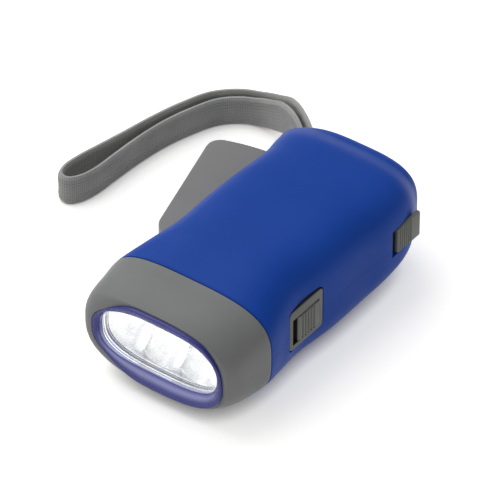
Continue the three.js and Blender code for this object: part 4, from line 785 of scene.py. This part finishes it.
# Rings of the flared ring: outer edge, face, the slope to the window's edge, the wall behind it and the back
def ringRows(outerInset, faceY, faceWidth, edgeRound, depth, power):
    gap = body["gap"]
    backY = frontY + front["rimBack"]
    rings = []
    edge = softened([(backY, outerInset, 0), (faceY, outerInset, edgeRound),
                     (faceY, outerInset + faceWidth, 0)], 8, closed=False)
    for y, inset in edge:
        rings.append({**skinRing(frontY, inset), "y": y})
    crest = rings[-1]
    openEdge = windowRing(frontY)
    flareSteps = 24
    for i in range(1, flareSteps + 1):
        share = i / flareSteps
        rings.append(mixedRing(crest, openEdge, share, faceY + depth * share ** power))
    step = front["wallStep"]
    backInset = head["bezelWall"] + gap
    rings += [windowRing(faceY + depth + front["edgeRound"], step), windowRing(lensFrontY - gap, step),
              windowRing(lensFrontY - gap, head["lensSeat"]), windowRing(lensBackY, head["lensSeat"]),
              skinRing(lensBackY, backInset), skinRing(windowY + 1, backInset),
              skinRing(windowY, head["lip"] + gap)]
    rings.append({**skinRing(frontY, head["lip"] + gap), "y": backY})
    return rings, len(edge) + flareSteps


# The ring's painted glow and painted highlight gather low on the window's edge and on the slope in front of
# it
def makeRing():
    withoutLip, openIndex = ringRows(front["rimInset"], frontY, front["rimFace"], front["rimRound"],
                                     front["rimDepth"], front["rimPower"])
    withLip, openIndex = ringRows(front["ringInset"], frontY + front["ringDrop"], front["ringFace"],
                                  front["ringRound"], front["ringDepth"], front["ringPower"])
    points = lipMixed(withLip, withoutLip)
    faces = gridFaces(len(withLip), body["sides"], True, True)
    face = skinRing(frontY, 0)
    span = front["paintedGlowSpan"]
    least = front["paintedGlowLeast"]
    lows = [clamped(-(z - middleZ) / face["tall"] - front["paintedGlowStart"], 0, span) / span
            for x, y, z in ringRow(face)]
    paintedGlow = []
    for row in range(len(withLip)):
        before = openIndex - row
        edge = float(before > -2)
        slope = 0.0
        if before > 0:
            edge = max(1 - before / front["edgeRows"], 0) * front["paintedEdgeGlow"]
            slope = math.exp(-((before - front["slopeRow"]) / front["slopeRows"]) ** 2) * front["paintedSlopeHighlight"]
        # Painted glow and highlight: most on the low part of the ring, least on its top
        paintedGlow += [max(edge * (least + (1 - least) * low), slope * low) for low in lows]
    piece = newObject("ring", points, faces, {"lampGlow": paintedGlow})
    fitted(piece, violetPlastic, "case", "ring_violet", "lens_ring")


# A tub that fills the ring's opening, on a flange in its seat; a row of scaled rings makes each face
def makeWindow():
    room = head["lensSeat"] - body["gap"]
    side = -front["lensGap"]
    bend = front["lensRound"]
    faceY = frontY + front["lensFace"]
    innerY = faceY + head["lensThickness"]
    inner = side - front["lensWall"]
    steps = 24
    bendSteps = 5
    shares = [max(i / steps, 0.002) for i in range(steps + 1)]
    rows = [windowRing(faceY - front["lensDome"] * (1 - share ** 2), side - bend, share) for share in shares]
    for i in range(1, bendSteps + 1):
        turn = math.pi / 2 * i / bendSteps
        rows.append(windowRing(faceY + bend * (1 - math.cos(turn)), side - bend * (1 - math.sin(turn))))
    rows += [windowRing(lensFrontY, side), windowRing(lensFrontY, room), windowRing(lensBackY, room),
             windowRing(lensBackY, inner)]
    rows += [windowRing(innerY, inner, share) for share in reversed(shares)]
    points = [p for ring in rows for p in ringRow(ring)]
    faces = gridFaces(len(rows), body["sides"], False, True) + endFaces(len(rows), body["sides"])
    fitted(newObject("window", points, faces), windowPlastic, "case", "lens_clear", "front_lens")


def cupDrop(x, z):
    deepest = 0.0
    for lampX in lampXs:
        reach = math.hypot(x - lampX, z - middleZ) / cupRadius
        if reach < 1:
            deepest = max(deepest, head["cupDepth"] * (1 - reach ** 2))
    return deepest


# One on the crease between two cups, falling to nothing beside it
def cupLine(x, z):
    reaches = sorted(math.hypot(x - lampX, z - middleZ) for lampX in lampXs)
    return math.exp(-((reaches[1] - reaches[0]) / head["creaseWidth"]) ** 2)


# A skin with cups and lamp holes, from rings scaled towards the middle
def makeReflector():
    rim = skinRing(reflectorY, head["bezelWall"] + body["gap"])
    steps = 70
    count = 240
    edge = ringPoints(rim, count)
    centreX = (rim["right"] - rim["left"]) / 2
    points = []
    for back in (0, 1):
        for i in range(steps + 1):
            share = max(1 - i / steps, 0.004)
            for x, y, z in edge:
                px = centreX + (x - centreX) * share
                pz = middleZ + (z - middleZ) * share
                points.append((px, reflectorY + cupDrop(px, pz) + back * head["skin"], pz))
    rows = steps + 1
    faces = gridFaces(rows, count, False, True) + gridFaces(rows, count, False, True, rows * count)
    faces += [(i, (i + 1) % count, rows * count + (i + 1) % count, rows * count + i) for i in range(count)]
    faces += [tuple(range((rows - 1) * count, rows * count))]
    faces += [tuple(range((2 * rows - 1) * count, 2 * rows * count))]
    piece = newObject("mirror", points, faces)
    bore = head["lampRadius"] + body["gap"]
    profile = [(0, 0), (bore, 0), (bore, head["boreLength"]), (0, head["boreLength"])]
    for x in lampXs:
        cut(piece, turned("hole", profile, 48, lambda a, b, h: (x + a, reflectorY + h, middleZ + b)))
    # Masks for the mirror's painted light: the cups' depth, and closeness to a crease for painted shade
    for key, measure in (("cupDepth", cupDrop), ("cupLine", cupLine)):
        numbers = [measure(v.co.x / metre, v.co.z / metre) for v in piece.data.vertices]
        piece.data.attributes.new(key, "FLOAT", "POINT").data.foreach_set("value", numbers)
    fitted(piece, mirrorFinish(), "case", "mirror_film", "reflector", angle=40)


# Lamp: flange, barrel and dome along -Y, on two legs
def makeLamp(name, x):
    radius = head["lampRadius"]
    flange = head["lampFlange"]
    backY = reflectorY + head["cupDepth"] + head["skin"] + body["gap"] + flange * 2
    wide = radius + flange
    corner = head["flangeRound"]
    profile = [(0, 0), (wide - corner, 0), (wide, corner), (wide, flange * 2 - corner),
               (wide - corner, flange * 2), (radius, flange * 2)]
    domeSteps = 12
    for i in range(domeSteps + 1):
        turn = math.pi / 2 * i / domeSteps
        profile.append((radius * math.cos(turn), head["lampLength"] - radius + radius * math.sin(turn)))
    points, faces = turnedPoints(profile, 40, lambda a, b, h: (x + a, backY - h, middleZ + b))
    for side in (-1, 1):
        legX = x + side * head["legSpacing"] / 2
        legs, legFaces = turnedPoints(
            [(0, 0), (head["legRadius"], 0), (head["legRadius"], head["legLength"]), (0, head["legLength"])],
            12, lambda a, b, h: (legX + a, backY - head["legSink"] + h, middleZ + b))
        faces += [tuple(len(points) + i for i in face) for face in legFaces]
        points += legs
    fitted(newObject(f"lamp_{name}", points, faces), epoxy, "case", "lamp_clear", f"led_{name}")


makeBezel()
makeRing()
makeWindow()
makeReflector()
for lampName, lampX in zip(("left", "middle", "right"), lampXs):
    makeLamp(lampName, lampX)
print("head made")

# Hand lever: an open channel with a toothed arm, turning about its pin

lever = {
    "pivotX": -16, "pivotY": -26, "bottomZ": 10.4, "height": 15.6, "wall": 1.6, "reach": 60.4,
    "cornerX": -29.3, "cornerY": -11.8, "slope": 15.5, "frontSlope": 50, "cornerRound": 4.5, "frontRound": 2,
    "edge": 0.5, "knuckleRadius": 4, "moveGap": 0.5, "squeeze": 16, "pinRadius": 1.5, "openTurn": -4,
    "catchInset": 1.2, "catchLength": 4, "catchTurn": -3, "catchRise": 2.2,
}
leverTopZ = lever["bottomZ"] + lever["height"]


def directionAt(degrees):
    return Vector((math.cos(math.radians(degrees)), math.sin(math.radians(degrees))))


# Plan outline, moved inwards by inset: front foot, arc about the pivot, rounded rear corner, outer wall
def leverOutline(inset, steps=14):
    outward = directionAt(lever["slope"])
    forward = directionAt(lever["frontSlope"])
    cross = outward.x * forward.y - outward.y * forward.x
    corner = Vector((
        lever["cornerX"] + inset * (forward.y - outward.y) / cross,
        lever["cornerY"] + inset * (outward.x - forward.x) / cross,
    ))
    pivot = Vector((lever["pivotX"], lever["pivotY"]))
    edge = Vector((-outward.y, outward.x))
    front = Vector((forward.y, -forward.x))
    reach = lever["reach"] - inset
    toPivot = corner - pivot
    along = toPivot.dot(edge)
    rear = corner + edge * (-along + math.sqrt(along ** 2 - toPivot.length_squared + reach ** 2))
    rearTurn = math.atan2(rear.y - pivot.y, rear.x - pivot.x)
    rearRound = max(lever["cornerRound"] - inset, lever["cornerRound"] / 4)
    frontRound = max(lever["frontRound"] - inset, lever["frontRound"] / 4)
    foot = corner + front * -toPivot.dot(front)
    points = [(foot.x, foot.y)]
    arcSteps = 24
    endTurn = rearTurn - rearRound / reach
    for i in range(arcSteps + 1):
        turn = math.pi / 2 + (endTurn - math.pi / 2) * i / arcSteps
        points.append((pivot.x + reach * math.cos(turn), pivot.y + reach * math.sin(turn)))
    points += cornerCurve(Vector(points[-1]), rear, rear - edge * rearRound, steps, 1)
    points.append(tuple(corner + edge * frontRound))
    return points + cornerCurve(corner + edge * frontRound, corner, corner + front * frontRound, steps, 1)


gears = {"rackModule": 0.8, "rackTeeth": 110, "turn": 22, "slack": 0.2, "pressure": 20,
         "addendum": 0.8, "dedendum": 1.12, "armBottomZ": 16.7, "armThickness": 3, "band": 5}


def toothHalfTurn(teeth, radiusShare):
    pressure = math.radians(gears["pressure"])
    rolled = math.cos(pressure) / radiusShare
    angle = math.acos(rolled) if rolled < 1 else 0
    return (math.pi * (1 - gears["slack"]) / (2 * teeth) + math.tan(pressure) - pressure
            - math.tan(angle) + angle)


def toothPoints(teeth, module, centreTurn):
    radius = module * teeth / 2
    levels = [radius - gears["dedendum"] * module, radius, radius + gears["addendum"] * module]
    flank = [(level, toothHalfTurn(teeth, level / radius)) for level in levels]
    turns = [(level, centreTurn - half) for level, half in flank]
    turns += [(level, centreTurn + half) for level, half in reversed(flank)]
    return [(level * math.cos(turn), level * math.sin(turn)) for level, turn in turns]


# The lever's arm: a band from its outer wall to the toothed end
def armOutline():
    radius = gears["rackModule"] * gears["rackTeeth"] / 2
    root = radius - gears["dedendum"] * gears["rackModule"]
    inner = root - gears["band"]
    tooth = 2 * math.pi / gears["rackTeeth"]
    driveLine = math.pi / 2 - math.radians(gears["turn"])
    strokeTeeth = math.ceil(math.radians(lever["squeeze"]) / tooth) + 1
    outward = math.radians(lever["slope"])

    def wallTurn(distanceOut):
        depth = ((lever["cornerX"] - lever["pivotX"]) * math.cos(outward)
                 + (lever["cornerY"] - lever["pivotY"]) * math.sin(outward))
        return outward + math.pi - math.acos(-(depth + lever["wall"] / 2) / distanceOut)

    def arc(distanceOut, start, end, steps=24):
        return [(distanceOut * math.cos(start + (end - start) * i / steps),
                 distanceOut * math.sin(start + (end - start) * i / steps)) for i in range(steps + 1)]

    leading = driveLine - tooth * 1.5
    trailing = driveLine + (strokeTeeth + 0.5) * tooth
    points = arc(inner, wallTurn(inner), leading)
    points.append((root * math.cos(leading), root * math.sin(leading)))
    for i in range(-1, strokeTeeth + 1):
        points += toothPoints(gears["rackTeeth"], gears["rackModule"], driveLine + i * tooth)
    points += arc(root, trailing, wallTurn(root))
    return [(x + lever["pivotX"], y + lever["pivotY"]) for x, y in points]


def fromPivot(radius, turn):
    return (lever["pivotX"] + radius * math.sin(math.radians(turn)),
            lever["pivotY"] + radius * math.cos(math.radians(turn)))


def makeLever():
    x, y = lever["pivotX"], lever["pivotY"]
    z0 = lever["bottomZ"] + lever["wall"]
    z1 = leverTopZ - lever["wall"]
    piece = bevelled(slab("hand_lever", leverOutline(0), lever["bottomZ"], leverTopZ), lever["edge"], 4, 50)
    joined(piece, slab("knuckle", circle(x, y, lever["knuckleRadius"]), lever["bottomZ"], leverTopZ))
    openX = fromPivot(lever["reach"], lever["openTurn"])[0]
    cut(
        piece,
        slab("hollow", leverOutline(lever["wall"]), z0, z1),
        slab("hollow", circle(x, y, lever["knuckleRadius"] + lever["moveGap"]), z0, z1),
        box("hollow", openX, x + lever["knuckleRadius"] + 1, y, y + lever["reach"] + 1, z0, z1),
    )
    joined(piece, slab("arm", armOutline(), gears["armBottomZ"], gears["armBottomZ"] + gears["armThickness"]))
    outer = lever["reach"] - lever["catchInset"]
    inner = outer - lever["catchLength"]
    catch = [fromPivot(radius, turn) for radius, turn in (
        (inner, lever["catchTurn"]), (inner, 0), (outer, 0), (outer, lever["catchTurn"]))]
    joined(piece, slab("catch", catch, z1, leverTopZ + lever["catchRise"]))
    boreRadius = lever["pinRadius"] + body["gap"] / 2
    cut(piece, slab("bore", circle(x, y, boreRadius), lever["bottomZ"] - 1, leverTopZ + 1))
    fitted(piece, leverPlastic, "lever", "lever_grey", "lever")


makeLever()
print("lever made")

# Light switch: rounded plate, ribbed knob in its slot

switch = {
    "plateLength": 15.9, "plateHeight": 13.9, "faceX": 26.1, "rearY": -6.4, "middleZ": 17.8,
    "plateRise": 0.7, "slideZ": 18.6, "thickness": 1.5, "stand": 0.9, "rim": 1, "corner": 1.6, "margin": 1.8,
    "travel": 2, "edge": 0.22, "outline": 0.45, "actuatorX": 18.7, "actuatorHalf": 1,
    "knobLength": 10, "knobHeight": 8.5, "proud": 0.35, "ramp": 1.2, "rampDrop": 0.3, "grooves": 5,
    "pitch": 1.35, "grooveWidth": 0.6, "grooveDepth": 0.5, "firstGroove": 0.55,
}
plateFrontY = switch["rearY"] - switch["plateLength"]
plateZ0 = switch["middleZ"] + switch["plateRise"] - switch["plateHeight"] / 2
plateZ1 = plateZ0 + switch["plateHeight"]
plateBackX = switch["faceX"] - switch["stand"] - switch["thickness"]
knobRearY = switch["rearY"] - switch["margin"] - body["gap"]
knobFrontY = knobRearY - switch["knobLength"]
slotY0 = knobFrontY - switch["travel"] - body["gap"]
slotY1 = knobRearY + body["gap"]
slotZ0 = switch["middleZ"] - switch["knobHeight"] / 2 - body["slideGap"]
slotZ1 = switch["middleZ"] + switch["knobHeight"] / 2 + body["slideGap"]


# The plate's outline as (y, z), moved outwards by extra
def plateOutline(extra, corner):
    return roundedBox(plateFrontY - extra, switch["rearY"] + extra, plateZ0 - extra, plateZ1 + extra, corner)


def makeSwitchPlate():
    flangeBackX = plateBackX - switch["thickness"]
    corner = switch["corner"]
    face = sideSlab("switch_plate_face", plateOutline(0, corner), flangeBackX, switch["faceX"])
    bevelled(face, switch["edge"], 3, 50)
    joined(face, sideSlab("flange", plateOutline(switch["rim"], corner), flangeBackX,
                          plateBackX - body["gap"] * 3))
    cut(face, box("slot", flangeBackX - 1, switch["faceX"] + 1, slotY0, slotY1, slotZ0, slotZ1))
    fitted(face, platePlastic, "case", "plate_grey", "switch_plate")
    # Painted shadow: the plate's flange and slot walls get the black finish
    paintShadeDeeperThan(face, blackPlasticAndPaintedShade, switch["faceX"] - switch["stand"])


# Roundings of a thumb piece, and how its grooves widen at the top and narrow at the floor
thumb = {
    "edge": 0.12, "frontRound": 0.3, "rearRound": 0.35, "ribRound": 0.14, "grooveRound": 0.1,
    "ribSpread": 0.1, "floorShare": 0.35,
}


# Plan outline of a ribbed thumb piece with softened rib edges
def thumbOutline(y0, y1, backX, faceX, size):
    half = size["grooveWidth"] / 2
    rib = half + thumb["ribSpread"]
    floor = half * thumb["floorShare"]
    deepX = faceX - size["grooveDepth"]
    corners = [(backX, y0, 0), (faceX - size["rampDrop"], y0, thumb["frontRound"]),
               (faceX, y0 + size["ramp"], thumb["frontRound"])]
    for i in range(size["grooves"]):
        middle = y0 + size["ramp"] + size["firstGroove"] + i * size["pitch"] + half
        corners += [(faceX, middle - rib, thumb["ribRound"]), (deepX, middle - floor, thumb["grooveRound"]),
                    (deepX, middle + floor, thumb["grooveRound"]), (faceX, middle + rib, thumb["ribRound"])]
    return softened(corners + [(faceX, y1, thumb["rearRound"]), (backX, y1, 0)], 4)


# Paints shade: the faces that lie deeper than an x place get a second, dark finish as painted shadow
def paintShadeDeeperThan(piece, material, deepX):
    piece.data.materials.append(material)
    for face in piece.data.polygons:
        if face.center.x < deepX * metre:
            face.material_index = 1


def makeKnob():
    z0 = switch["middleZ"] - switch["knobHeight"] / 2
    z1 = switch["middleZ"] + switch["knobHeight"] / 2
    flangeX = plateBackX - switch["thickness"] - body["gap"]
    backX = flangeX - switch["thickness"] / 2
    faceX = switch["faceX"] + switch["proud"]
    piece = slab("switch_thumb", thumbOutline(knobFrontY, knobRearY, backX, faceX, switch), z0, z1)
    bevelled(piece, thumb["edge"], 2, 60)
    rim = switch["rim"]
    slide = body["slideGap"]
    half = switch["actuatorHalf"]
    middleY = (knobFrontY + knobRearY) / 2
    joined(
        piece,
        box("flange", flangeX - switch["thickness"], flangeX, slotY0 - slide + switch["travel"] - rim,
            slotY1 + slide + rim, slotZ0 - rim, slotZ1 + rim),
        box("actuator", switch["actuatorX"], backX, middleY - half, middleY + half, switch["slideZ"] - half,
            switch["slideZ"] + half),
    )
    fitted(piece, sliderPlastic, "switch", "slider_grey", "switch_knob")
    # Painted shadow: the knob's sides, flange and actuator get the black finish
    paintShadeDeeperThan(piece, blackPlasticAndPaintedShade, switch["faceX"] - switch["edge"] * 2)


makeSwitchPlate()
makeKnob()
print("switch made")

# Lever lock: thumb piece outside, bar and arm inside

lock = {
    "length": 9.9, "height": 8.5, "rise": 1.5, "rearY": 39.8, "faceX": 27.6, "thickness": 1.3, "travel": 4,
    "stemLength": 3.5, "stemHeight": 4.6, "flangeX": 22, "thumbFront": 1.2, "frontGap": 3.6, "ramp": 0.4,
    "rampDrop": 0.3, "grooves": 6, "pitch": 1.05, "grooveWidth": 0.5, "grooveDepth": 0.5, "firstGroove": 0.5,
}
lockFrontY = lock["rearY"] - lock["length"]
lockZ0 = middleZ + lock["rise"] - lock["height"] / 2
lockZ1 = lockZ0 + lock["height"]
lockBackX = lock["faceX"] - lock["thickness"]
stemY1 = lock["rearY"] - lock["travel"] - body["slideGap"] / 2
stemY0 = stemY1 - lock["stemLength"]
stemZ0 = middleZ - lock["stemHeight"] / 2
stemZ1 = middleZ + lock["stemHeight"] / 2


# The solid's hidden bar and arm stay as they are: the thumb piece is laid over its outer end
def makeLock():
    thumbY = lockFrontY - lock["thumbFront"]
    outline = thumbOutline(thumbY, lock["rearY"], lockBackX, lock["faceX"], lock)
    piece = slab("lock_thumb", outline, lockZ0, lockZ1)
    bevelled(piece, thumb["edge"], 2, 60)
    solid = frame["nodes"]["lock_slider"]
    inner = bpy.data.objects.new("lock_inner", solid.data.copy())
    bpy.context.collection.objects.link(inner)
    cut(inner, box("outer", lockBackX - 0.05, lock["faceX"] + 1, lockFrontY - 1, lock["rearY"] + 1,
                   lockZ0 - 1, lockZ1 + 1))
    joined(piece, inner)
    fitted(piece, sliderPlastic, "lock", "slider_grey", "lock_slider")


makeLock()
print("lock made")

# Screws, turned with a cross recess

screws = {
    "radius": 1.1, "headRadius": 2, "headHeight": 1.3, "length": 17, "pitch": 0.45, "rootShare": 0.82,
    "faceShare": 0.55, "crossLength": 0.55, "crossWidth": 0.14, "seatWalls": 1.75,
}
caseScrews = {
    "front_left": (-5.5, -28.3), "front_right": (15.5, -28.3), "rear_left": (-10.5, 44.6),
    "rear_right": (14.6, 44.6),
}


# Height of the body's underside at a place
def floorZ(x, y):
    ring = skinRing(y, 0)
    half = ring["right"] if x > 0 else ring["left"]
    rest = max(1 - abs(x / half) ** ring["square"], 0)
    return middleZ - ring["tall"] * rest ** (1 / ring["square"])


def screwSeat(x, y):
    return floorZ(x, y) + body["wall"] * screws["seatWalls"]


def makeScrew(name, x, y):
    radius = screws["radius"]
    headRadius = screws["headRadius"]
    height = screws["headHeight"]
    length = screws["length"]
    pitch = screws["pitch"]
    headZ = screwSeat(x, y) - body["gap"]
    face = screws["faceShare"]
    profile = [(0, -height)]
    for i in range(1, 9):
        turn = math.pi / 2 * i / 8
        share = face + (1 - face) * math.sin(turn) if i > 1 else face
        profile.append((headRadius * share, -height + height * 0.6 * (1 - math.cos(turn))))
    profile += [(headRadius, 0), (radius, 0)]
    for i in range(int((length - radius) / pitch)):
        start = pitch * i
        profile += [(radius, start + pitch * 0.4), (radius * screws["rootShare"], start + pitch * 0.7),
                    (radius, start + pitch)]
    profile += [(radius * 0.7, length - radius * 0.4), (0, length)]
    piece = turned(f"screw_{name}", profile, 28, lambda a, b, h: (x + a, y + b, headZ + h))
    long, thin = headRadius * screws["crossLength"], headRadius * screws["crossWidth"]
    for wide, deep in ((long, thin), (thin, long)):
        cut(piece, box("cross", x - wide, x + wide, y - deep, y + deep, headZ - height * 1.5,
                       headZ - height * 0.4))
    fitted(piece, steelFinish, "case", "bright_steel", f"case_screw_{name}")


for screwName, (screwX, screwY) in caseScrews.items():
    makeScrew(screwName, screwX, screwY)
print("screws made")

# Shells: each half is one closed skin, then the openings are cut

shellCuts = {
    "strapSlotLength": 14, "strapSlotWidth": 7.6, "screwHead": 2.3, "bossRadius": 2.7, "capSteps": 10,
    "rearReach": 12, "rearStep": 0.45, "innerReach": 14, "innerStep": 2, "innerRearStep": 1,
}


# Rows of the half shell, from the outer rear pole over the skin, round the neck and back to the inner pole
def shellRows():
    wall = body["wall"]
    dome = body["rearDome"]
    innerRear = rearY - wall
    neckOuter = head["bezelWall"] + body["gap"]
    neckInner = neckOuter + head["neckWall"]
    rows = []

    def squeezed(y):
        start = rearY - body["domeReach"]
        return y - dome * ((y - start) / body["domeReach"]) ** 2 if y > start else y

    steps = shellCuts["capSteps"]
    for i in range(steps):
        share = max(i / steps, 0.02)
        rows.append((rearY, 0, share, rearY - dome * share ** 3))
    y = rearY
    startY = seamY + body["headSeam"]
    while y > startY + body["edge"] + 0.2:
        rows.append((y, 0, 1, squeezed(y)))
        y -= shellCuts["rearStep"] if y > rearY - shellCuts["rearReach"] else body["ringStep"]
    neckY = seamY - head["neckLength"]
    rows += [(y, inset, 1, y) for y, inset in (
        (startY + body["edge"], 0), (startY, body["edge"]), (startY, neckOuter), (neckY, neckOuter),
        (neckY, neckInner), (seamY + wall, neckInner), (seamY + wall, wall),
    )]
    y = seamY + wall + 2
    while y < innerRear - 0.5:
        rows.append((y, wall, 1, squeezed(y)))
        y += shellCuts["innerStep"] if y < rearY - shellCuts["innerReach"] else shellCuts["innerRearStep"]
    return rows + [(innerRear, wall, 1 - i / 4.05, innerRear - dome) for i in range(5)]


def halfShell(name, upper):
    count = body["sides"] // 2 + 1
    seam = middleZ + (1 if upper else -1) * body["seamGap"] / 2
    points = []
    rows = shellRows()
    for skinY, inset, scale, y in rows:
        ring = {**skinRing(skinY, inset), "y": y}
        startTurn = 0 if upper else math.pi
        arc = ringPoints(ring, count, startTurn, startTurn + math.pi, closed=False)
        centreX = (ring["right"] - ring["left"]) / 2
        outer = inset < 0.01 and scale == 1
        for i, (x, py, z) in enumerate(arc):
            x = centreX + (x - centreX) * scale
            z = middleZ + (z - middleZ) * scale
            z = max(z, seam) if upper else min(z, seam)
            if inset <= body["edge"]:
                z = max(z, 0.0)
            if outer and i in (0, count - 1):
                x -= math.copysign(body["edge"] * 0.15, x)
            points.append((x, py, z))
    faces = gridFaces(len(rows), count, False, False)
    faces += [tuple(r * count + side for r in range(len(rows))) for side in (0, count - 1)]
    return newObject(name, points, faces + endFaces(len(rows), count))


# A slot that follows the strap out of the case
def strapSlot():
    points = [Vector(p) for p in strap["route"]]
    inner = (points[0] + points[-1]) / 2
    outer = (points[3] + points[-4]) / 2
    heading = outer - inner
    heading.z = 0
    heading.normalize()
    pin = inner - heading * 1.5
    half = shellCuts["strapSlotWidth"] / 2
    reach = shellCuts["strapSlotLength"]
    aside = Vector((-heading.y, heading.x, 0)) * half
    corners = [pin - aside, pin + aside, pin + heading * reach + aside, pin + heading * reach - aside]
    room = strap["width"] / 2 + body["slideGap"] * 2
    return slab("strap_slot", [(c.x, c.y) for c in corners], inner.z - room, inner.z + room)


def shellTools():
    gap = body["gap"]
    slide = body["slideGap"]
    flangeX = plateBackX - switch["thickness"] - gap
    outside = body["halfWidth"] + 2
    line = switch["outline"]
    return [
        slab("lever_slot", leverOutline(-slide), lever["bottomZ"] - slide, leverTopZ + slide),
        sideSlab("plate_pocket", plateOutline(gap, switch["corner"] + gap), flangeX, outside),
        sideSlab("plate_outline", plateOutline(line, switch["corner"] + line), plateBackX + 0.5, outside),
        box("lock_slot", lock["flangeX"], outside, stemY0 - slide, stemY1 + lock["travel"] + slide,
            stemZ0 - slide, stemZ1 + slide),
        box("lock_pocket", lockBackX - gap, outside, lockFrontY - lock["frontGap"], rearY, lockZ0 - slide,
            lockZ1 + slide),
        strapSlot(),
    ]


def makeShells():
    upper = cut(halfShell("body_upper", True), *shellTools())
    lower = halfShell("body_lower", False)
    for x, y in caseScrews.values():
        joined(lower, slab("boss", circle(x, y, shellCuts["bossRadius"]), floorZ(x, y) + body["wall"] / 2,
                           middleZ - body["seamGap"]))
    cut(lower, *shellTools())
    for x, y in caseScrews.values():
        seat = screwSeat(x, y)
        cut(lower, slab("head_recess", circle(x, y, shellCuts["screwHead"]), -1, seat),
            slab("bore", circle(x, y, screws["radius"] + body["gap"] / 2, 24), seat - 0.5, middleZ + 1))
    pocketX = lockBackX - body["gap"]
    for shell, node in ((upper, "upper_shell"), (lower, "lower_shell")):
        fitted(shell, bluePlastic, "case", "shell_blue", node, angle=40)
        # Painted shadow: the floor of the lock's pocket gets the black finish
        shell.data.materials.append(blackPlasticAndPaintedShade)
        for face in shell.data.polygons:
            x, y, z = face.center / metre
            pocketShadeArea = lockFrontY - 5 < y < rearY and lockZ0 - 1 < z < lockZ1 + 1
            if pocketShadeArea and abs(x - pocketX) < 0.05 and face.normal.x > 0.99:
                face.material_index = 1


makeShells()
print("shells made")

# Finishes of the solids that stay as they are

solidFinishes = {
    "bright_steel": steelFinish, "cell_steel": cellFinish, "flywheel_steel": flywheelFinish,
    "magnet_dark": magnetFinish, "core_iron": coreFinish, "coil_copper": copperWire,
    "black_plastic": blackPlasticAndPaintedShade, "capacitor_sleeve": blackPlasticAndPaintedShade, "board_green": greenBoard,
    "gear_white": gearPlastic, "plate_grey": platePlastic,
}
for entry in frame["record"]["subparts"]:
    finish = solidFinishes.get(entry["material_slot"])
    if finish:
        solid = frame["nodes"][entry["node"]]
        for place in solid.material_slots:
            place.material = finish
print("solids finished")

# Floor and lights

stage = {
    "size": 4.0, "floor": (0.965, 0.955, 0.93), "backdrop": 0.52, "contact": 0.007, "world": 0.36,
    "aim": (0, 0, 0.02),
    "key": {"place": (-1.05, 0.25, 1.4), "power": 18, "size": 1.9},
    "front": {"place": (-0.75, -1.05, 1.0), "power": 3, "size": 0.9},
}


def makeFloor():
    half = stage["size"] / 2
    floor = newObject("floor", [(x / metre, y / metre, 0) for x, y in
                                ((-half, -half), (half, -half), (half, half), (-half, half))], [(0, 1, 2, 3)])
    floor.location = (0, 0, -0.0001)
    made = Finish("floor_white")
    pale = stage["floor"] + (1.0,)
    deep = tuple(c * 0.99 for c in stage["floor"]) + (1.0,)
    made.put({"Base Color": made.mix(made.noise(900, 2, 0.5), deep, pale), "Roughness": 0.9,
              "Specular IOR Level": 0.1})
    plain = made.shader.outputs["BSDF"]
    # Painted contact shadow: the floor's white emission fades out near the object
    paintedContactShadow = made.node("ShaderNodeAmbientOcclusion", {"Distance": stage["contact"]}).outputs["AO"]
    strength = made.ramp(paintedContactShadow, 0.1, 0.7, 0.0, stage["backdrop"])
    glowing = made.node("ShaderNodeEmission", {"Color": (1, 1, 1, 1), "Strength": strength})
    both = made.node("ShaderNodeAddShader")
    made.feed(both.inputs[0], plain)
    made.feed(both.inputs[1], glowing.outputs["Emission"])
    rays = made.node("ShaderNodeLightPath").outputs
    seen = made.calc("MAXIMUM", made.calc("MAXIMUM", rays["Is Camera Ray"], rays["Is Glossy Ray"]),
                     rays["Is Transmission Ray"])
    chosen = made.node("ShaderNodeMixShader", {"Fac": seen})
    made.feed(chosen.inputs[1], plain)
    made.feed(chosen.inputs[2], both.outputs["Shader"])
    made.feed(made.nodes["Material Output"].inputs["Surface"], chosen.outputs["Shader"])
    floor.data.materials.append(made.material)


def addLight(name):
    values = stage[name]
    data = bpy.data.lights.new(name, "AREA")
    data.energy = values["power"]
    data.size = values["size"]
    light = bpy.data.objects.new(name, data)
    place = Vector(values["place"])
    light.location = place
    light.rotation_euler = (Vector(stage["aim"]) - place).to_track_quat("-Z", "Y").to_euler()
    bpy.context.collection.objects.link(light)


def makeWorld():
    world = bpy.data.worlds.new("studio")
    bpy.context.scene.world = world
    world.use_nodes = True
    background = world.node_tree.nodes["Background"]
    background.inputs["Color"].default_value = (1, 1, 1, 1)
    background.inputs["Strength"].default_value = stage["world"]


makeFloor()
for lightName in ("key", "front"):
    addLight(lightName)
makeWorld()
bpy.context.scene.view_settings.view_transform = "Standard"
print("stage set")
